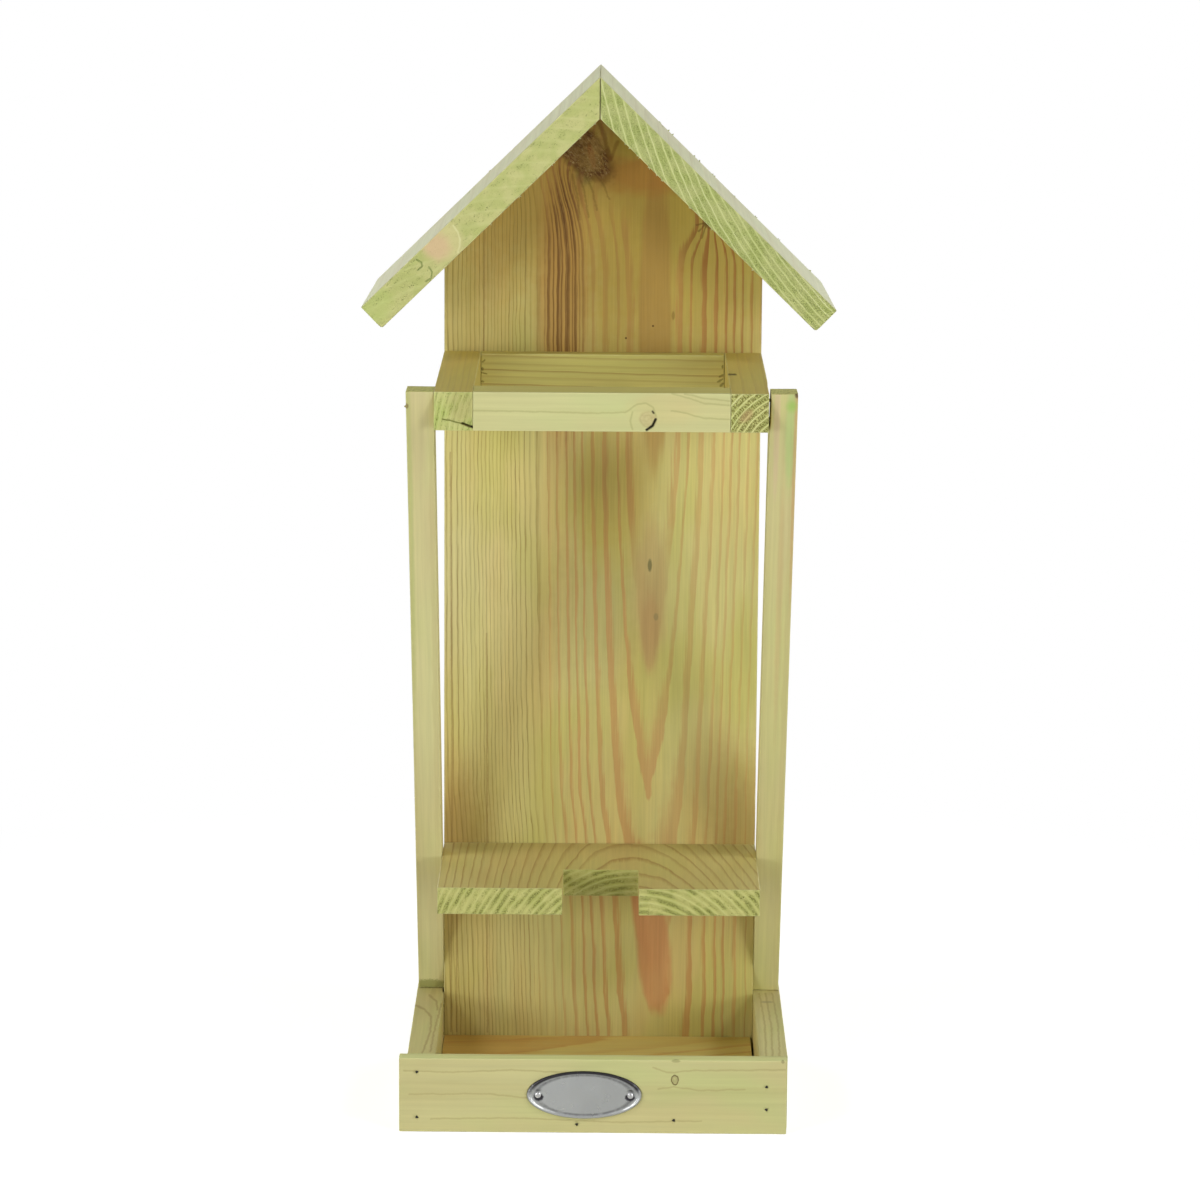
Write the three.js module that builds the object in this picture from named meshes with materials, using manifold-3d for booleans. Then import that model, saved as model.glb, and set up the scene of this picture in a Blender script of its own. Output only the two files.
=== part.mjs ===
// A bird table that feeds from an upturned bottle: a tall back board under a mitred gable roof,
// a square collar for the bottle's body, a notched shelf for its neck and a seed tray below.
// Sawn and planed softwood, pinned together. Millimetres, +X right, +Y back, +Z up.
// The origin is the middle of the whole outline, on the ground.

import * as THREE from "three";
import { mergeVertices } from "three/addons/utils/BufferGeometryUtils.js";
import Module from "manifold-3d";

const wasm = await Module();
wasm.setup();

// Back board
const boardWidth = 120;
const boardThick = 19;

// Roof: two boards with the grain running from front to back
const roofPitch = THREE.MathUtils.degToRad(44.2);
const roofSlope = 122.5;
const roofThick = 11;
const roofDepth = 61.5;
const roofEndSkew = 4.3; // how much shorter the lower ends are at the back
const roofArris = 1.5; // the rounded lower inner edge
const eavesRise = 14; // from the collar's top up to the roof's lowest edge
const ridgeShift = -1.5; // the ridge sits a little to the left of the board's middle
const mitreGap = 0.3;
const seatGap = 0.25; // between the roof's underside and the board's sloping top

// Collar that holds the bottle's body
const collarTop = 279;
const collarHeight = 14;
const collarReach = 106.7; // from the back board's face to the fronts of the arms
const armWidth = 14;
const frontRailDepth = 15.5;
const backRailDepth = 7.4;

// Leaning struts
const strutWidth = 10;
const strutFootDepth = 14.3; // measured level, along the foot

// Bottle shelf
const shelfTop = 87.8;
const shelfThick = 10.2;
const shelfDepth = 70.6;
const notchWidth = 28.4;
const notchDepth = 28.7;
const notchShift = 0.7;

// Seed tray
const trayHeight = 28.2;
const trayReach = 85.4; // from the back board's face to the tray front's inner face
const sideThick = 10.5;
const floorThick = 10.8;
const frontThick = 6.5;
const frontOverlap = 1.3; // how far the tray front stands proud of each side
const frontShift = -1.6;
const floorGap = 0.7; // between the floor and the right-hand side

// Oval plate, pressed from thin sheet, with a raised rim
const plateLength = 42.6;
const plateHeight = 18.2;
const plateThick = 0.5;
const plateRimWidth = 1.1;
const plateRimRise = 0.45;
const plateCrestShares = [0.3, 0.7]; // where the rim is at its full rise, across its width
const plateShift = -3.2; // from the tray front's middle
const plateLevel = 14.7;
const platePinSpacing = 34.2;

// Nails, and the plate's two pins
const nailRadius = 0.6;
const nailHeadRadius = 0.85;
const nailHeadThick = 0.8;
const nailTip = 2;
const nailSink = 0.6; // heads are punched below the surface
const nailGap = 0.25;
const shortNail = 24;
const longNail = 30;
const backNail = 40;
const platePinLength = 5.5;
const platePinHeadRadius = 1.2;
const platePinHeadRise = 0.7;
const overrun = 2;

// Where the nails go, as shares of the pieces that they hold
const roofNailShares = [0.26, 0.57]; // down the slope
const railNailShare = 0.42; // from the middle of the back board to its edge
const shelfNailShare = 0.67;
const floorNailShare = 0.5;
const strutTopNailShares = [0.25, 0.75]; // up the collar
const strutFootNailShares = [0.4, 1.1]; // up from the tray, by the depth of the strut's foot
const strutNailShare = 0.5; // across the strut
const floorSideNailShares = [0.3, 0.7]; // along the tray
const boardSideNailShares = [0.3, 0.7]; // up the tray
const frontFloorNailShares = [{ across: -0.125, high: 0.29 }, { across: 0.473, high: 0.46 }];
const frontLeftNailShares = [{ across: 0.64, high: 0.195 }, { across: 0.64, high: 0.81 }];
const frontRightNailShares = [{ across: 0.25, high: 0.33 }, { across: 0.25, high: 0.64 }];

const arcSteps = 6;
const ovalSteps = 56;
const nailSides = 8;
const platePinSides = 12;

const halfBoard = boardWidth / 2;
const collarBottom = collarTop - collarHeight;
const ridgeHeight =
  collarTop + eavesRise + roofSlope * Math.sin(roofPitch) + roofThick * Math.cos(roofPitch);
const shelfBottom = shelfTop - shelfThick;
const frontFace = -trayReach - frontThick;
const strutTopFront = -collarReach;
const strutFootFront = boardThick - strutFootDepth;
const strutLean = (strutFootFront - strutTopFront) / (collarTop - trayHeight);

const wood = {
  board: { color: 0xb3a56a, roughness: 0.78 },
  edge: { color: 0xb9bd78, roughness: 0.82 },
  pale: { color: 0xc6c48a, roughness: 0.75 },
  floor: { color: 0x9c8f4e, roughness: 0.8 },
};
const metal = {
  plate: { color: 0xc9cbcd, roughness: 0.28, metalness: 1 },
  nail: { color: 0x6d6a66, roughness: 0.5, metalness: 1 },
};

const pieces = new Map();
const hands = [[-1, "left"], [1, "right"]];

// Turns a closed geometry into a solid that can be cut.
function solidOf(geometry) {
  const bare = geometry.clone();
  bare.deleteAttribute("normal");
  bare.deleteAttribute("uv");
  const merged = mergeVertices(bare);
  const mesh = new wasm.Mesh({
    numProp: 3,
    vertProperties: new Float32Array(merged.attributes.position.array),
    triVerts: new Uint32Array(merged.index.array),
  });
  return new wasm.Manifold(mesh);
}

function geometryOf(solid) {
  const { vertProperties, triVerts } = solid.getMesh();
  const geometry = new THREE.BufferGeometry();
  geometry.setAttribute("position", new THREE.BufferAttribute(vertProperties, 3));
  geometry.setIndex(new THREE.BufferAttribute(triVerts, 1));
  return geometry;
}

function addPiece(name, geometry, finish) {
  pieces.set(name, { solid: solidOf(geometry), finish });
}

// A block given by its lowest and highest corners.
function block([x0, y0, z0], [x1, y1, z1]) {
  const geometry = new THREE.BoxGeometry(x1 - x0, y1 - y0, z1 - z0);
  return geometry.translate((x0 + x1) / 2, (y0 + y1) / 2, (z0 + z1) / 2);
}

// The three ways in which an outline is drawn and then given its thickness.
const right = new THREE.Vector3(1, 0, 0);
const back = new THREE.Vector3(0, 1, 0);
const up = new THREE.Vector3(0, 0, 1);
const forward = back.clone().negate();
const left = right.clone().negate();
const level = [right, back, up];
const facingFront = [right, up, forward];
const facingRight = [back, up, right];

function plank(outline, plane, thickness, start) {
  const shape = new THREE.Shape(outline.map(([a, b]) => new THREE.Vector2(a, b)));
  const geometry = new THREE.ExtrudeGeometry(shape, { depth: thickness, bevelEnabled: false });
  const basis = new THREE.Matrix4().makeBasis(...plane);
  return geometry.applyMatrix4(basis).translate(start.x, start.y, start.z);
}

// Skins a run of outlines with equal counts of points, and closes its two ends.
function loft(rings) {
  const count = rings[0].length;
  const positions = rings.flat().flatMap((point) => point.toArray());
  const indices = [];
  for (let ring = 0; ring < rings.length - 1; ring++) {
    for (let i = 0; i < count; i++) {
      const next = (i + 1) % count;
      const a = ring * count + i;
      const b = ring * count + next;
      indices.push(a, b, b + count, a, b + count, a + count);
    }
  }
  const last = (rings.length - 1) * count;
  for (let i = 1; i < count - 1; i++) {
    indices.push(0, i + 1, i);
    indices.push(last, last + i, last + i + 1);
  }
  const geometry = new THREE.BufferGeometry();
  geometry.setAttribute("position", new THREE.Float32BufferAttribute(positions, 3));
  geometry.setIndex(indices);
  return geometry;
}

// Turned shapes stand on the axis with their tips down, and are then laid along the way they are driven.
function turned(profile, sides, head, drive) {
  const points = profile.map(([radius, height]) => new THREE.Vector2(radius, height));
  const geometry = new THREE.LatheGeometry(points, sides);
  const turn = new THREE.Quaternion().setFromUnitVectors(back, drive.clone().negate());
  return geometry.applyQuaternion(turn).translate(head.x, head.y, head.z);
}

function nailProfile(length, gap, above) {
  const shank = nailRadius + gap;
  const head = nailHeadRadius + gap;
  return [
    [0, -length - gap],
    [shank, -length - gap + nailTip],
    [shank, -nailHeadThick - gap],
    [head, -nailHeadThick - gap],
    [head, above],
    [0, above],
  ];
}

function bore(names, hole) {
  for (const name of names) {
    const piece = pieces.get(name);
    piece.solid = piece.solid.subtract(solidOf(hole));
  }
}

// Drives a nail through the named pieces, each of which is bored with a clearance.
function drive(nail, names, surface, way, length) {
  const head = surface.clone().addScaledVector(way, nailSink);
  bore(names, turned(nailProfile(length, nailGap, nailSink + overrun), nailSides, head, way));
  addPiece(nail, turned(nailProfile(length, 0, 0), nailSides, head, way), metal.nail);
}

const at = (x, y, z) => new THREE.Vector3(x, y, z);

// Section of one roof board, drawn on the side that the sign names, with its slope of the given length.
function roofSection(side, slope, y) {
  const along = at(side * Math.cos(roofPitch), 0, -Math.sin(roofPitch));
  const inward = at(-side * Math.sin(roofPitch), 0, -Math.cos(roofPitch));
  const ridge = at(ridgeShift, y, ridgeHeight);
  const onSlope = (distance, depth) =>
    ridge.clone().addScaledVector(along, distance).addScaledVector(inward, depth);
  const mitre = mitreGap / 2 / Math.cos(roofPitch);
  const section = [
    onSlope(mitre, 0),
    onSlope(mitre + roofThick * Math.tan(roofPitch), roofThick),
  ];
  for (let step = 0; step <= arcSteps; step++) {
    const angle = (step / arcSteps) * (Math.PI / 2);
    section.push(onSlope(
      slope - roofArris + roofArris * Math.sin(angle),
      roofThick - roofArris + roofArris * Math.cos(angle),
    ));
  }
  section.push(onSlope(slope, 0));
  return section;
}

function roofBoard(side) {
  const front = roofSection(side, roofSlope, boardThick - roofDepth);
  const rear = roofSection(side, roofSlope - roofEndSkew, boardThick);
  return loft(side > 0 ? [rear, front] : [front, rear]);
}

// The board's top follows the roof's underside, whose ridge is off the board's middle.
function backBoard() {
  const peak = ridgeHeight - (roofThick + seatGap) / Math.cos(roofPitch);
  const eaves = (x) => peak - Math.abs(x - ridgeShift) * Math.tan(roofPitch);
  return plank([
    [-halfBoard, 0],
    [halfBoard, 0],
    [halfBoard, eaves(halfBoard)],
    [ridgeShift, peak],
    [-halfBoard, eaves(-halfBoard)],
  ], facingFront, boardThick, at(0, boardThick, 0));
}

// A leaning strut, with both ends cut level.
function strut(side) {
  const outline = [
    [strutFootFront, trayHeight],
    [strutFootFront + strutFootDepth, trayHeight],
    [strutTopFront + strutFootDepth, collarTop],
    [strutTopFront, collarTop],
  ];
  const start = side > 0 ? halfBoard : -halfBoard - strutWidth;
  return plank(outline, facingRight, strutWidth, at(start, 0, 0));
}

// The shelf, open at the front where the bottle's neck slides in.
function bottleShelf() {
  const notchLeft = notchShift - notchWidth / 2;
  const notchRight = notchShift + notchWidth / 2;
  const notchBack = notchDepth - shelfDepth;
  return plank([
    [-halfBoard, -shelfDepth],
    [notchLeft, -shelfDepth],
    [notchLeft, notchBack],
    [notchRight, notchBack],
    [notchRight, -shelfDepth],
    [halfBoard, -shelfDepth],
    [halfBoard, 0],
    [-halfBoard, 0],
  ], level, shelfThick, at(0, 0, shelfBottom));
}

function collar() {
  const inner = halfBoard - armWidth;
  const railBack = frontRailDepth - collarReach;
  addPiece("collar_arm_left",
    block([-halfBoard, -collarReach, collarBottom], [-inner, 0, collarTop]), wood.edge);
  addPiece("collar_arm_right",
    block([inner, -collarReach, collarBottom], [halfBoard, 0, collarTop]), wood.edge);
  addPiece("collar_front_rail",
    block([-inner, -collarReach, collarBottom], [inner, railBack, collarTop]), wood.pale);
  addPiece("collar_back_rail",
    block([-inner, -backRailDepth, collarBottom], [inner, 0, collarTop]), wood.board);
}

function tray() {
  const outer = halfBoard + sideThick;
  const frontHalf = outer + frontOverlap;
  addPiece("tray_floor",
    block([-halfBoard, -trayReach, 0], [halfBoard - floorGap, 0, floorThick]), wood.floor);
  addPiece("tray_side_left",
    block([-outer, -trayReach, 0], [-halfBoard, boardThick, trayHeight]), wood.edge);
  addPiece("tray_side_right",
    block([halfBoard, -trayReach, 0], [outer, boardThick, trayHeight]), wood.edge);
  addPiece("tray_front",
    block([frontShift - frontHalf, frontFace, 0], [frontShift + frontHalf, -trayReach, trayHeight]),
    wood.pale);
}

// The plate is a run of ovals, each a constant distance inside the last, up over the rim and down again.
function ovalPlate() {
  const centre = at(frontShift + plateShift, frontFace, plateLevel);
  const profile = [
    { inset: 0, rise: 0 },
    { inset: 0, rise: plateThick },
    ...plateCrestShares.map((share) => ({
      inset: plateRimWidth * share,
      rise: plateThick + plateRimRise,
    })),
    { inset: plateRimWidth, rise: plateThick },
  ];
  const oval = ({ inset, rise }) => {
    const ring = [];
    for (let step = 0; step < ovalSteps; step++) {
      const angle = (step / ovalSteps) * 2 * Math.PI;
      ring.push(at(
        centre.x + (plateLength / 2 - inset) * Math.cos(angle),
        centre.y - rise,
        centre.z + (plateHeight / 2 - inset) * Math.sin(angle),
      ));
    }
    return ring;
  };
  return loft(profile.map(oval));
}

// Two round-headed pins hold the plate, one near each end.
function platePins() {
  const shank = (gap, above) => [
    [0, -platePinLength - gap],
    [nailRadius + gap, -platePinLength - gap + nailTip],
    [nailRadius + gap, above],
  ];
  const dome = [];
  for (let step = 0; step < arcSteps; step++) {
    const angle = (step / arcSteps) * (Math.PI / 2);
    dome.push([platePinHeadRadius * Math.cos(angle), nailGap + platePinHeadRise * Math.sin(angle)]);
  }
  dome.push([0, nailGap + platePinHeadRise]);
  for (const [side, hand] of hands) {
    const x = frontShift + plateShift + (side * platePinSpacing) / 2;
    const head = at(x, frontFace - plateThick, plateLevel);
    bore(["oval_plate", "tray_front"],
      turned([...shank(nailGap, overrun), [0, overrun]], platePinSides, head, back));
    addPiece(`plate_pin_${hand}`,
      turned([...shank(0, nailGap), ...dome], platePinSides, head, back), metal.plate);
  }
}

function nailRoof() {
  for (const [side, hand] of hands) {
    const inward = at(-side * Math.sin(roofPitch), 0, -Math.cos(roofPitch));
    roofNailShares.forEach((share, i) => {
      const slope = roofSlope * share;
      const surface = at(
        ridgeShift + side * slope * Math.cos(roofPitch),
        boardThick / 2,
        ridgeHeight - slope * Math.sin(roofPitch),
      );
      drive(`roof_nail_${hand}_${i + 1}`, [`roof_board_${hand}`, "back_board"], surface, inward, longNail);
    });
  }
}

// The arms and the back rail are nailed from behind, through the back board.
function nailCollar() {
  const z = collarTop - collarHeight / 2;
  for (const [side, hand] of hands) {
    const arm = at(side * (halfBoard - armWidth / 2), boardThick, z);
    drive(`arm_nail_${hand}`, ["back_board", `collar_arm_${hand}`], arm, forward, backNail);
    const rail = at(side * halfBoard * railNailShare, boardThick, z);
    drive(`back_rail_nail_${hand}`, ["back_board", "collar_back_rail"], rail, forward, shortNail);
  }
}

// Each strut is nailed through the arm into the front rail, and at its foot into the board's edge.
function nailStruts() {
  const acrossStrut = (z) =>
    strutTopFront + (collarTop - z) * strutLean + strutFootDepth * strutNailShare;
  for (const [side, hand] of hands) {
    const inward = side < 0 ? right : left;
    const x = side * (halfBoard + strutWidth);
    strutTopNailShares.forEach((share, i) => {
      const z = collarBottom + collarHeight * share;
      drive(`strut_top_nail_${hand}_${i + 1}`, [`strut_${hand}`, `collar_arm_${hand}`, "collar_front_rail"],
        at(x, acrossStrut(z), z), inward, longNail);
    });
    strutFootNailShares.forEach((share, i) => {
      const z = trayHeight + strutFootDepth * share;
      drive(`strut_foot_nail_${hand}_${i + 1}`, [`strut_${hand}`, "back_board"],
        at(x, acrossStrut(z), z), inward, longNail);
    });
  }
}

function nailShelf() {
  for (const [side, hand] of hands) {
    const surface = at(side * halfBoard * shelfNailShare, boardThick, shelfTop - shelfThick / 2);
    drive(`shelf_nail_${hand}`, ["back_board", "bottle_shelf"], surface, forward, backNail);
  }
}

// The tray's sides are nailed into the floor and into the back board's edges, and the floor from behind.
function nailTray() {
  const middle = floorThick / 2;
  for (const [side, hand] of hands) {
    const inward = side < 0 ? right : left;
    const x = side * (halfBoard + sideThick);
    floorSideNailShares.forEach((share, i) => {
      drive(`floor_side_nail_${hand}_${i + 1}`, [`tray_side_${hand}`, "tray_floor"],
        at(x, -trayReach * share, middle), inward, longNail);
    });
    boardSideNailShares.forEach((share, i) => {
      drive(`board_side_nail_${hand}_${i + 1}`, [`tray_side_${hand}`, "back_board"],
        at(x, boardThick / 2, trayHeight * share), inward, longNail);
    });
    drive(`floor_back_nail_${hand}`, ["back_board", "tray_floor"],
      at(side * halfBoard * floorNailShare, boardThick, middle), forward, backNail);
  }
}

function nailTrayFront() {
  const rows = [
    ["left", "tray_side_left", frontLeftNailShares, (share) => -halfBoard - sideThick * share, trayHeight],
    ["right", "tray_side_right", frontRightNailShares, (share) => halfBoard + sideThick * share, trayHeight],
    ["floor", "tray_floor", frontFloorNailShares, (share) => halfBoard * share, floorThick],
  ];
  for (const [row, behind, shares, across, height] of rows) {
    shares.forEach((share, i) => {
      drive(`front_nail_${row}_${i + 1}`, ["tray_front", behind],
        at(across(share.across), frontFace, height * share.high), back, shortNail);
    });
  }
}

addPiece("back_board", backBoard(), wood.board);
addPiece("roof_board_left", roofBoard(-1), wood.edge);
addPiece("roof_board_right", roofBoard(1), wood.edge);
collar();
addPiece("strut_left", strut(-1), wood.pale);
addPiece("strut_right", strut(1), wood.pale);
addPiece("bottle_shelf", bottleShelf(), wood.edge);
tray();
addPiece("oval_plate", ovalPlate(), metal.plate);
platePins();
nailRoof();
nailCollar();
nailStruts();
nailShelf();
nailTray();
nailTrayFront();

// The boards are measured from the back board's face, so the whole is moved to its own middle.
const birdTable = new THREE.Group();
birdTable.position.set(-ridgeShift, (collarReach - boardThick) / 2, 0);
for (const [name, { solid, finish }] of pieces) {
  const mesh = new THREE.Mesh(geometryOf(solid), new THREE.MeshStandardMaterial(finish));
  mesh.name = name;
  birdTable.add(mesh);
}

const part = new THREE.Group();
part.add(birdTable);
export default part;
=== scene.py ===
import itertools
import math

import bpy
import numpy as np
from mathutils import Euler, Matrix, Vector


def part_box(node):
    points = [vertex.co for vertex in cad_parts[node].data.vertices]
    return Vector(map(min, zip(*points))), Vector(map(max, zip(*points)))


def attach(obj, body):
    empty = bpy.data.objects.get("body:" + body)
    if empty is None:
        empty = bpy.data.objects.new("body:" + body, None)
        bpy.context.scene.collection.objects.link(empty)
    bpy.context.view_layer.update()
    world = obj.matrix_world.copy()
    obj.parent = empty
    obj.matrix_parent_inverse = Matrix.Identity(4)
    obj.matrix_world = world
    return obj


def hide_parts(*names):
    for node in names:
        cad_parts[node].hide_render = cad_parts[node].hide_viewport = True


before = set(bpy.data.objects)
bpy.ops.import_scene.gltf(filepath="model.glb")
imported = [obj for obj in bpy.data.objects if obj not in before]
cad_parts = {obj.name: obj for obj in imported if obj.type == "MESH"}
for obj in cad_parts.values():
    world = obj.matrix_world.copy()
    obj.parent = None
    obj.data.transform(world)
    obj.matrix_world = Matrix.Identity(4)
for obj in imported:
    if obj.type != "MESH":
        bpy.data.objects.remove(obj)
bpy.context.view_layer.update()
mm = 0.001


# camera, floor and lights
camera = {
    "place": (5.318, -1726.674, 523.268),
    "lens": 141.516,
    "down": 10.8665,
    "left": 0.1375,
    "roll": 0.3926,
}
studio = {
    "aim": (0, 0, 0.2),
    "world": 0.04,
    "floor": (0.86, 0.86, 0.85),
    "floorReach": 3,
    "floorHeight": -0.0002,
    "floorGlow": 0.64,
    "floorFade": (0.16, 0.5),
    "boxes": [  # azimuth from straight in front, elevation, distance, width, height, share of the light
        ("keyLeft", -40, 3, 1.7, 0.45, 0.45, 0.26),
        ("keyRight", 40, 3, 1.7, 0.45, 0.45, 0.26),
        ("highLeft", -54, 34, 1.7, 0.6, 0.55, 0.33),
        ("highRight", 54, 34, 1.7, 0.6, 0.55, 0.33),
        ("rearLeft", -146, 6, 1.9, 0.7, 0.7, 0.34),
        ("rearRight", 146, 6, 1.9, 0.7, 0.7, 0.34),
    ],
}


def added(name, data):
    thing = bpy.data.objects.new(name, data)
    bpy.context.scene.collection.objects.link(thing)
    return thing


def setCamera():
    data = bpy.data.cameras.new("camera")
    data.lens = camera["lens"]
    body = added("camera", data)
    down, yaw, roll = (math.radians(camera[key]) for key in ("down", "left", "roll"))
    ahead = Vector((-math.sin(yaw) * math.cos(down), math.cos(yaw) * math.cos(down), -math.sin(down)))
    level = Vector((math.cos(yaw), math.sin(yaw), 0))
    upright = level.cross(ahead)
    side = level * math.cos(roll) + upright * math.sin(roll)
    top = upright * math.cos(roll) - level * math.sin(roll)
    turn = Matrix((side, top, -ahead)).transposed().to_4x4()
    body.matrix_world = Matrix.Translation(Vector(camera["place"]) * mm) @ turn
    bpy.context.scene.camera = body


def softbox(name, azimuth, elevation, distance, width, height, share):
    light = bpy.data.lights.new(name, "AREA")
    light.shape = "RECTANGLE"
    light.size = width
    light.size_y = height
    light.energy = share * math.pi ** 2 * distance ** 2
    lamp = added(name, light)
    around, rise = math.radians(azimuth), math.radians(elevation)
    way = Vector((math.sin(around) * math.cos(rise), -math.cos(around) * math.cos(rise), math.sin(rise)))
    lamp.location = Vector(studio["aim"]) + way * distance
    lamp.rotation_euler = way.to_track_quat("Z", "Y").to_euler()


# shader sums, written as they are in Python
class Wire:
    def __init__(self, tree, socket=None):
        self.tree = tree
        self.socket = socket

    def node(self, kind, settings=None, sockets=None, output=0):
        made = self.tree.nodes.new(kind)
        for name, value in (settings or {}).items():
            if name == "stops":
                self.setStops(made.color_ramp, value)
            else:
                setattr(made, name, value)
        for name, value in (sockets or {}).items():
            if isinstance(value, Wire):
                self.tree.links.new(value.socket, made.inputs[name])
            else:
                made.inputs[name].default_value = value
        return Wire(self.tree, made.outputs[output] if made.outputs else None)

    def setStops(self, ramp, stops):
        while len(ramp.elements) < len(stops):
            ramp.elements.new(0.5)
        for element, (place, value) in zip(ramp.elements, stops):
            element.position = place
            element.color = value if isinstance(value, tuple) else (value, value, value, 1)

    def other(self, output):
        return Wire(self.tree, self.socket.node.outputs[output])

    def calc(self, operation, *values):
        return self.node("ShaderNodeMath", {"operation": operation}, dict(enumerate((self, *values))))

    def __add__(self, value):
        return self.calc("ADD", value)

    def __sub__(self, value):
        return self.calc("SUBTRACT", value)

    def __rsub__(self, value):
        return self.calc("MULTIPLY_ADD", -1, value)

    def __mul__(self, value):
        return self.calc("MULTIPLY", value)

    def __truediv__(self, value):
        return self.calc("DIVIDE", value)

    def __pow__(self, value):
        return self.calc("POWER", value)

    __radd__ = __add__
    __rmul__ = __mul__

    def ease(self, low, high):
        return self.node("ShaderNodeMapRange", {"interpolation_type": "SMOOTHSTEP"}, {0: self, 1: low, 2: high})

    def vector(self, operation, value, output=0):
        return self.node("ShaderNodeVectorMath", {"operation": operation}, {0: self, 1: value}, output)

    def noise(self, size, detail=2, roughness=0.5):
        sizes = size if isinstance(size, tuple) else (size, size, size)
        spread = self.vector("DIVIDE", sizes)
        return spread.node("ShaderNodeTexNoise", {}, {
            "Vector": spread, "Scale": 1, "Detail": detail, "Roughness": roughness})

    def mix(self, share, first, second, mode="MIX"):
        settings = {"data_type": "RGBA", "blend_type": mode}
        return self.node("ShaderNodeMix", settings, {0: share, 6: first, 7: second}, 2)

    def blend(self, share, colour, mode="MIX"):
        return self.mix(share, self, colour, mode)


def tint(red, green, blue):  # a colour as a paint chart gives it, turned to linear light
    def linear(value):
        value /= 255
        return value / 12.92 if value <= 0.04045 else ((value + 0.055) / 1.055) ** 2.4
    return (linear(red), linear(green), linear(blue), 1)


def newMaterial(name):
    material = bpy.data.materials.new(name)
    material.use_nodes = True
    material.node_tree.nodes.clear()
    return material, Wire(material.node_tree)


def seenDirectly(wire):
    rays = wire.node("ShaderNodeLightPath", output="Is Camera Ray")
    seen = rays.calc("MAXIMUM", rays.other("Is Glossy Ray"))
    return seen.calc("MAXIMUM", rays.other("Is Transmission Ray"))


def setFloor():
    reach, height = studio["floorReach"], studio["floorHeight"]
    corners = [(side * reach, end * reach, height) for side, end in ((-1, -1), (1, -1), (1, 1), (-1, 1))]
    mesh = bpy.data.meshes.new("floor")
    mesh.from_pydata(corners, [], [(0, 1, 2, 3)])
    floor = added("floor", mesh)
    material, wire = newMaterial("paleFloor")
    seen = seenDirectly(wire)
    away = wire.node("ShaderNodeTexCoord", output="Object").vector("LENGTH", (0, 0, 0), 1)
    matt = wire.node("ShaderNodeBsdfDiffuse", sockets={"Color": (*studio["floor"], 1)})
    glow = wire.node("ShaderNodeEmission", sockets={"Color": (1, 1, 1, 1), "Strength": studio["floorGlow"]})
    white = wire.node("ShaderNodeEmission", sockets={"Color": (1, 1, 1, 1), "Strength": 1})
    near = wire.node("ShaderNodeAddShader", sockets={0: matt, 1: glow})
    shown = wire.node("ShaderNodeMixShader", sockets={0: away.ease(*studio["floorFade"]), 1: near, 2: white})
    mixed = wire.node("ShaderNodeMixShader", sockets={0: seen, 1: matt, 2: shown})
    wire.node("ShaderNodeOutputMaterial", sockets={"Surface": mixed})
    mesh.materials.append(material)


def setWorld():
    world = bpy.data.worlds.new("studio")
    world.use_nodes = True
    world.node_tree.nodes.clear()
    wire = Wire(world.node_tree)
    fill = wire.node("ShaderNodeBackground", sockets={"Color": (1, 1, 1, 1), "Strength": studio["world"]})
    white = wire.node("ShaderNodeBackground", sockets={"Color": (1, 1, 1, 1), "Strength": 1})
    mixed = wire.node("ShaderNodeMixShader", sockets={0: seenDirectly(wire), 1: fill, 2: white})
    wire.node("ShaderNodeOutputWorld", sockets={"Surface": mixed})
    bpy.context.scene.world = world


setCamera()
setFloor()
setWorld()
for box in studio["boxes"]:
    softbox(*box)
bpy.context.scene.view_settings.view_transform = "Standard"
print("camera, floor and lights are set")


# softwood
grains = {  # turns a board's own frame, whose z runs along the grain, into the model's frame
    "up": (0, 0, 0),
    "across": (0, 90, 0),
    "deep": (-90, 0, 0),
}

wood = {  # what every board shares; each board's own look changes some of it
    "pale": tint(204, 199, 138),
    "warm": tint(202, 189, 130),
    "green": tint(192, 195, 122),
    "sap": tint(174, 160, 92),
    "heart": tint(190, 150, 98),
    "heartReach": (30, 44),
    "outer": (0, 1),  # distances from the pith between which late wood narrows and spacing grows uneven
    "lateWide": 0.45,
    "lateStart": 0.45,
    "lateFull": 0.92,
    "lateDepth": 0.6,
    "greenShare": 0.4,
    "wander": 1.6,
    "waver": 0.3,
    "ragged": 0.1,
    "ripple": 0.25,
    "faint": 0.7,
    "seasons": 0.7,
    "feather": 0.3,
    "lean": (0, 0),
    "rings": (0.25, 0.0015, 0),
    # pale colour along the arrises: painted highlight on the edges, together with saw-torn pale fibre
    "edge": tint(216, 214, 156),
    "edgeShare": 0.4,
    "endPale": tint(184, 186, 118),
    "endGreen": tint(164, 174, 96),
    "endLine": tint(216, 217, 158),
    "endLineShare": 0.75,
    "endLineSpan": (0.6, 0.8, 0.86, 1.0),
    "endFleck": tint(118, 126, 58),
    "flecks": 0.6,
    "tear": 2.6,
    "dashes": 0.8,
    "dashSize": (0.42, 1.1),
    "dashFrom": (0.5, 0.62),
    "dashSpan": (0.02, 0.3, 0.5, 0.72),
    "patchy": 0,
    "fibre": 0.1,
    "rough": 0.66,
}

figure = {  # sizes of the wood's unevenness, across the grain and along it
    "slow": (38, 38, 170),
    "quick": (6, 6, 45),
    "fine": (1.1, 1.1, 13),
    "ripple": (9, 9, 13),
    "feather": (0.6, 0.6, 18),
    "cloud": (22, 22, 120),
    "haze": (26, 26, 60),
    "streak": (0.65, 0.65, 26),
    "band": (2.4, 2.4, 140),
    "seasons": (6, 260),
}

ringShape = {  # how late wood lies within one ring, from 0 at its start to 1 at its end
    "outerFull": 0.92,  # where it is full, far from the pith
    "jitter": 0.12,  # how far that moves from ring to ring
    "close": (0.93, 1.0),  # its sharp end
    "extra": (0.4, 0.85, 0.9, 1.0),  # the rise and fall of the thin lines between, where a patch has more
    "extraShare": 0.8,
}

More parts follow.
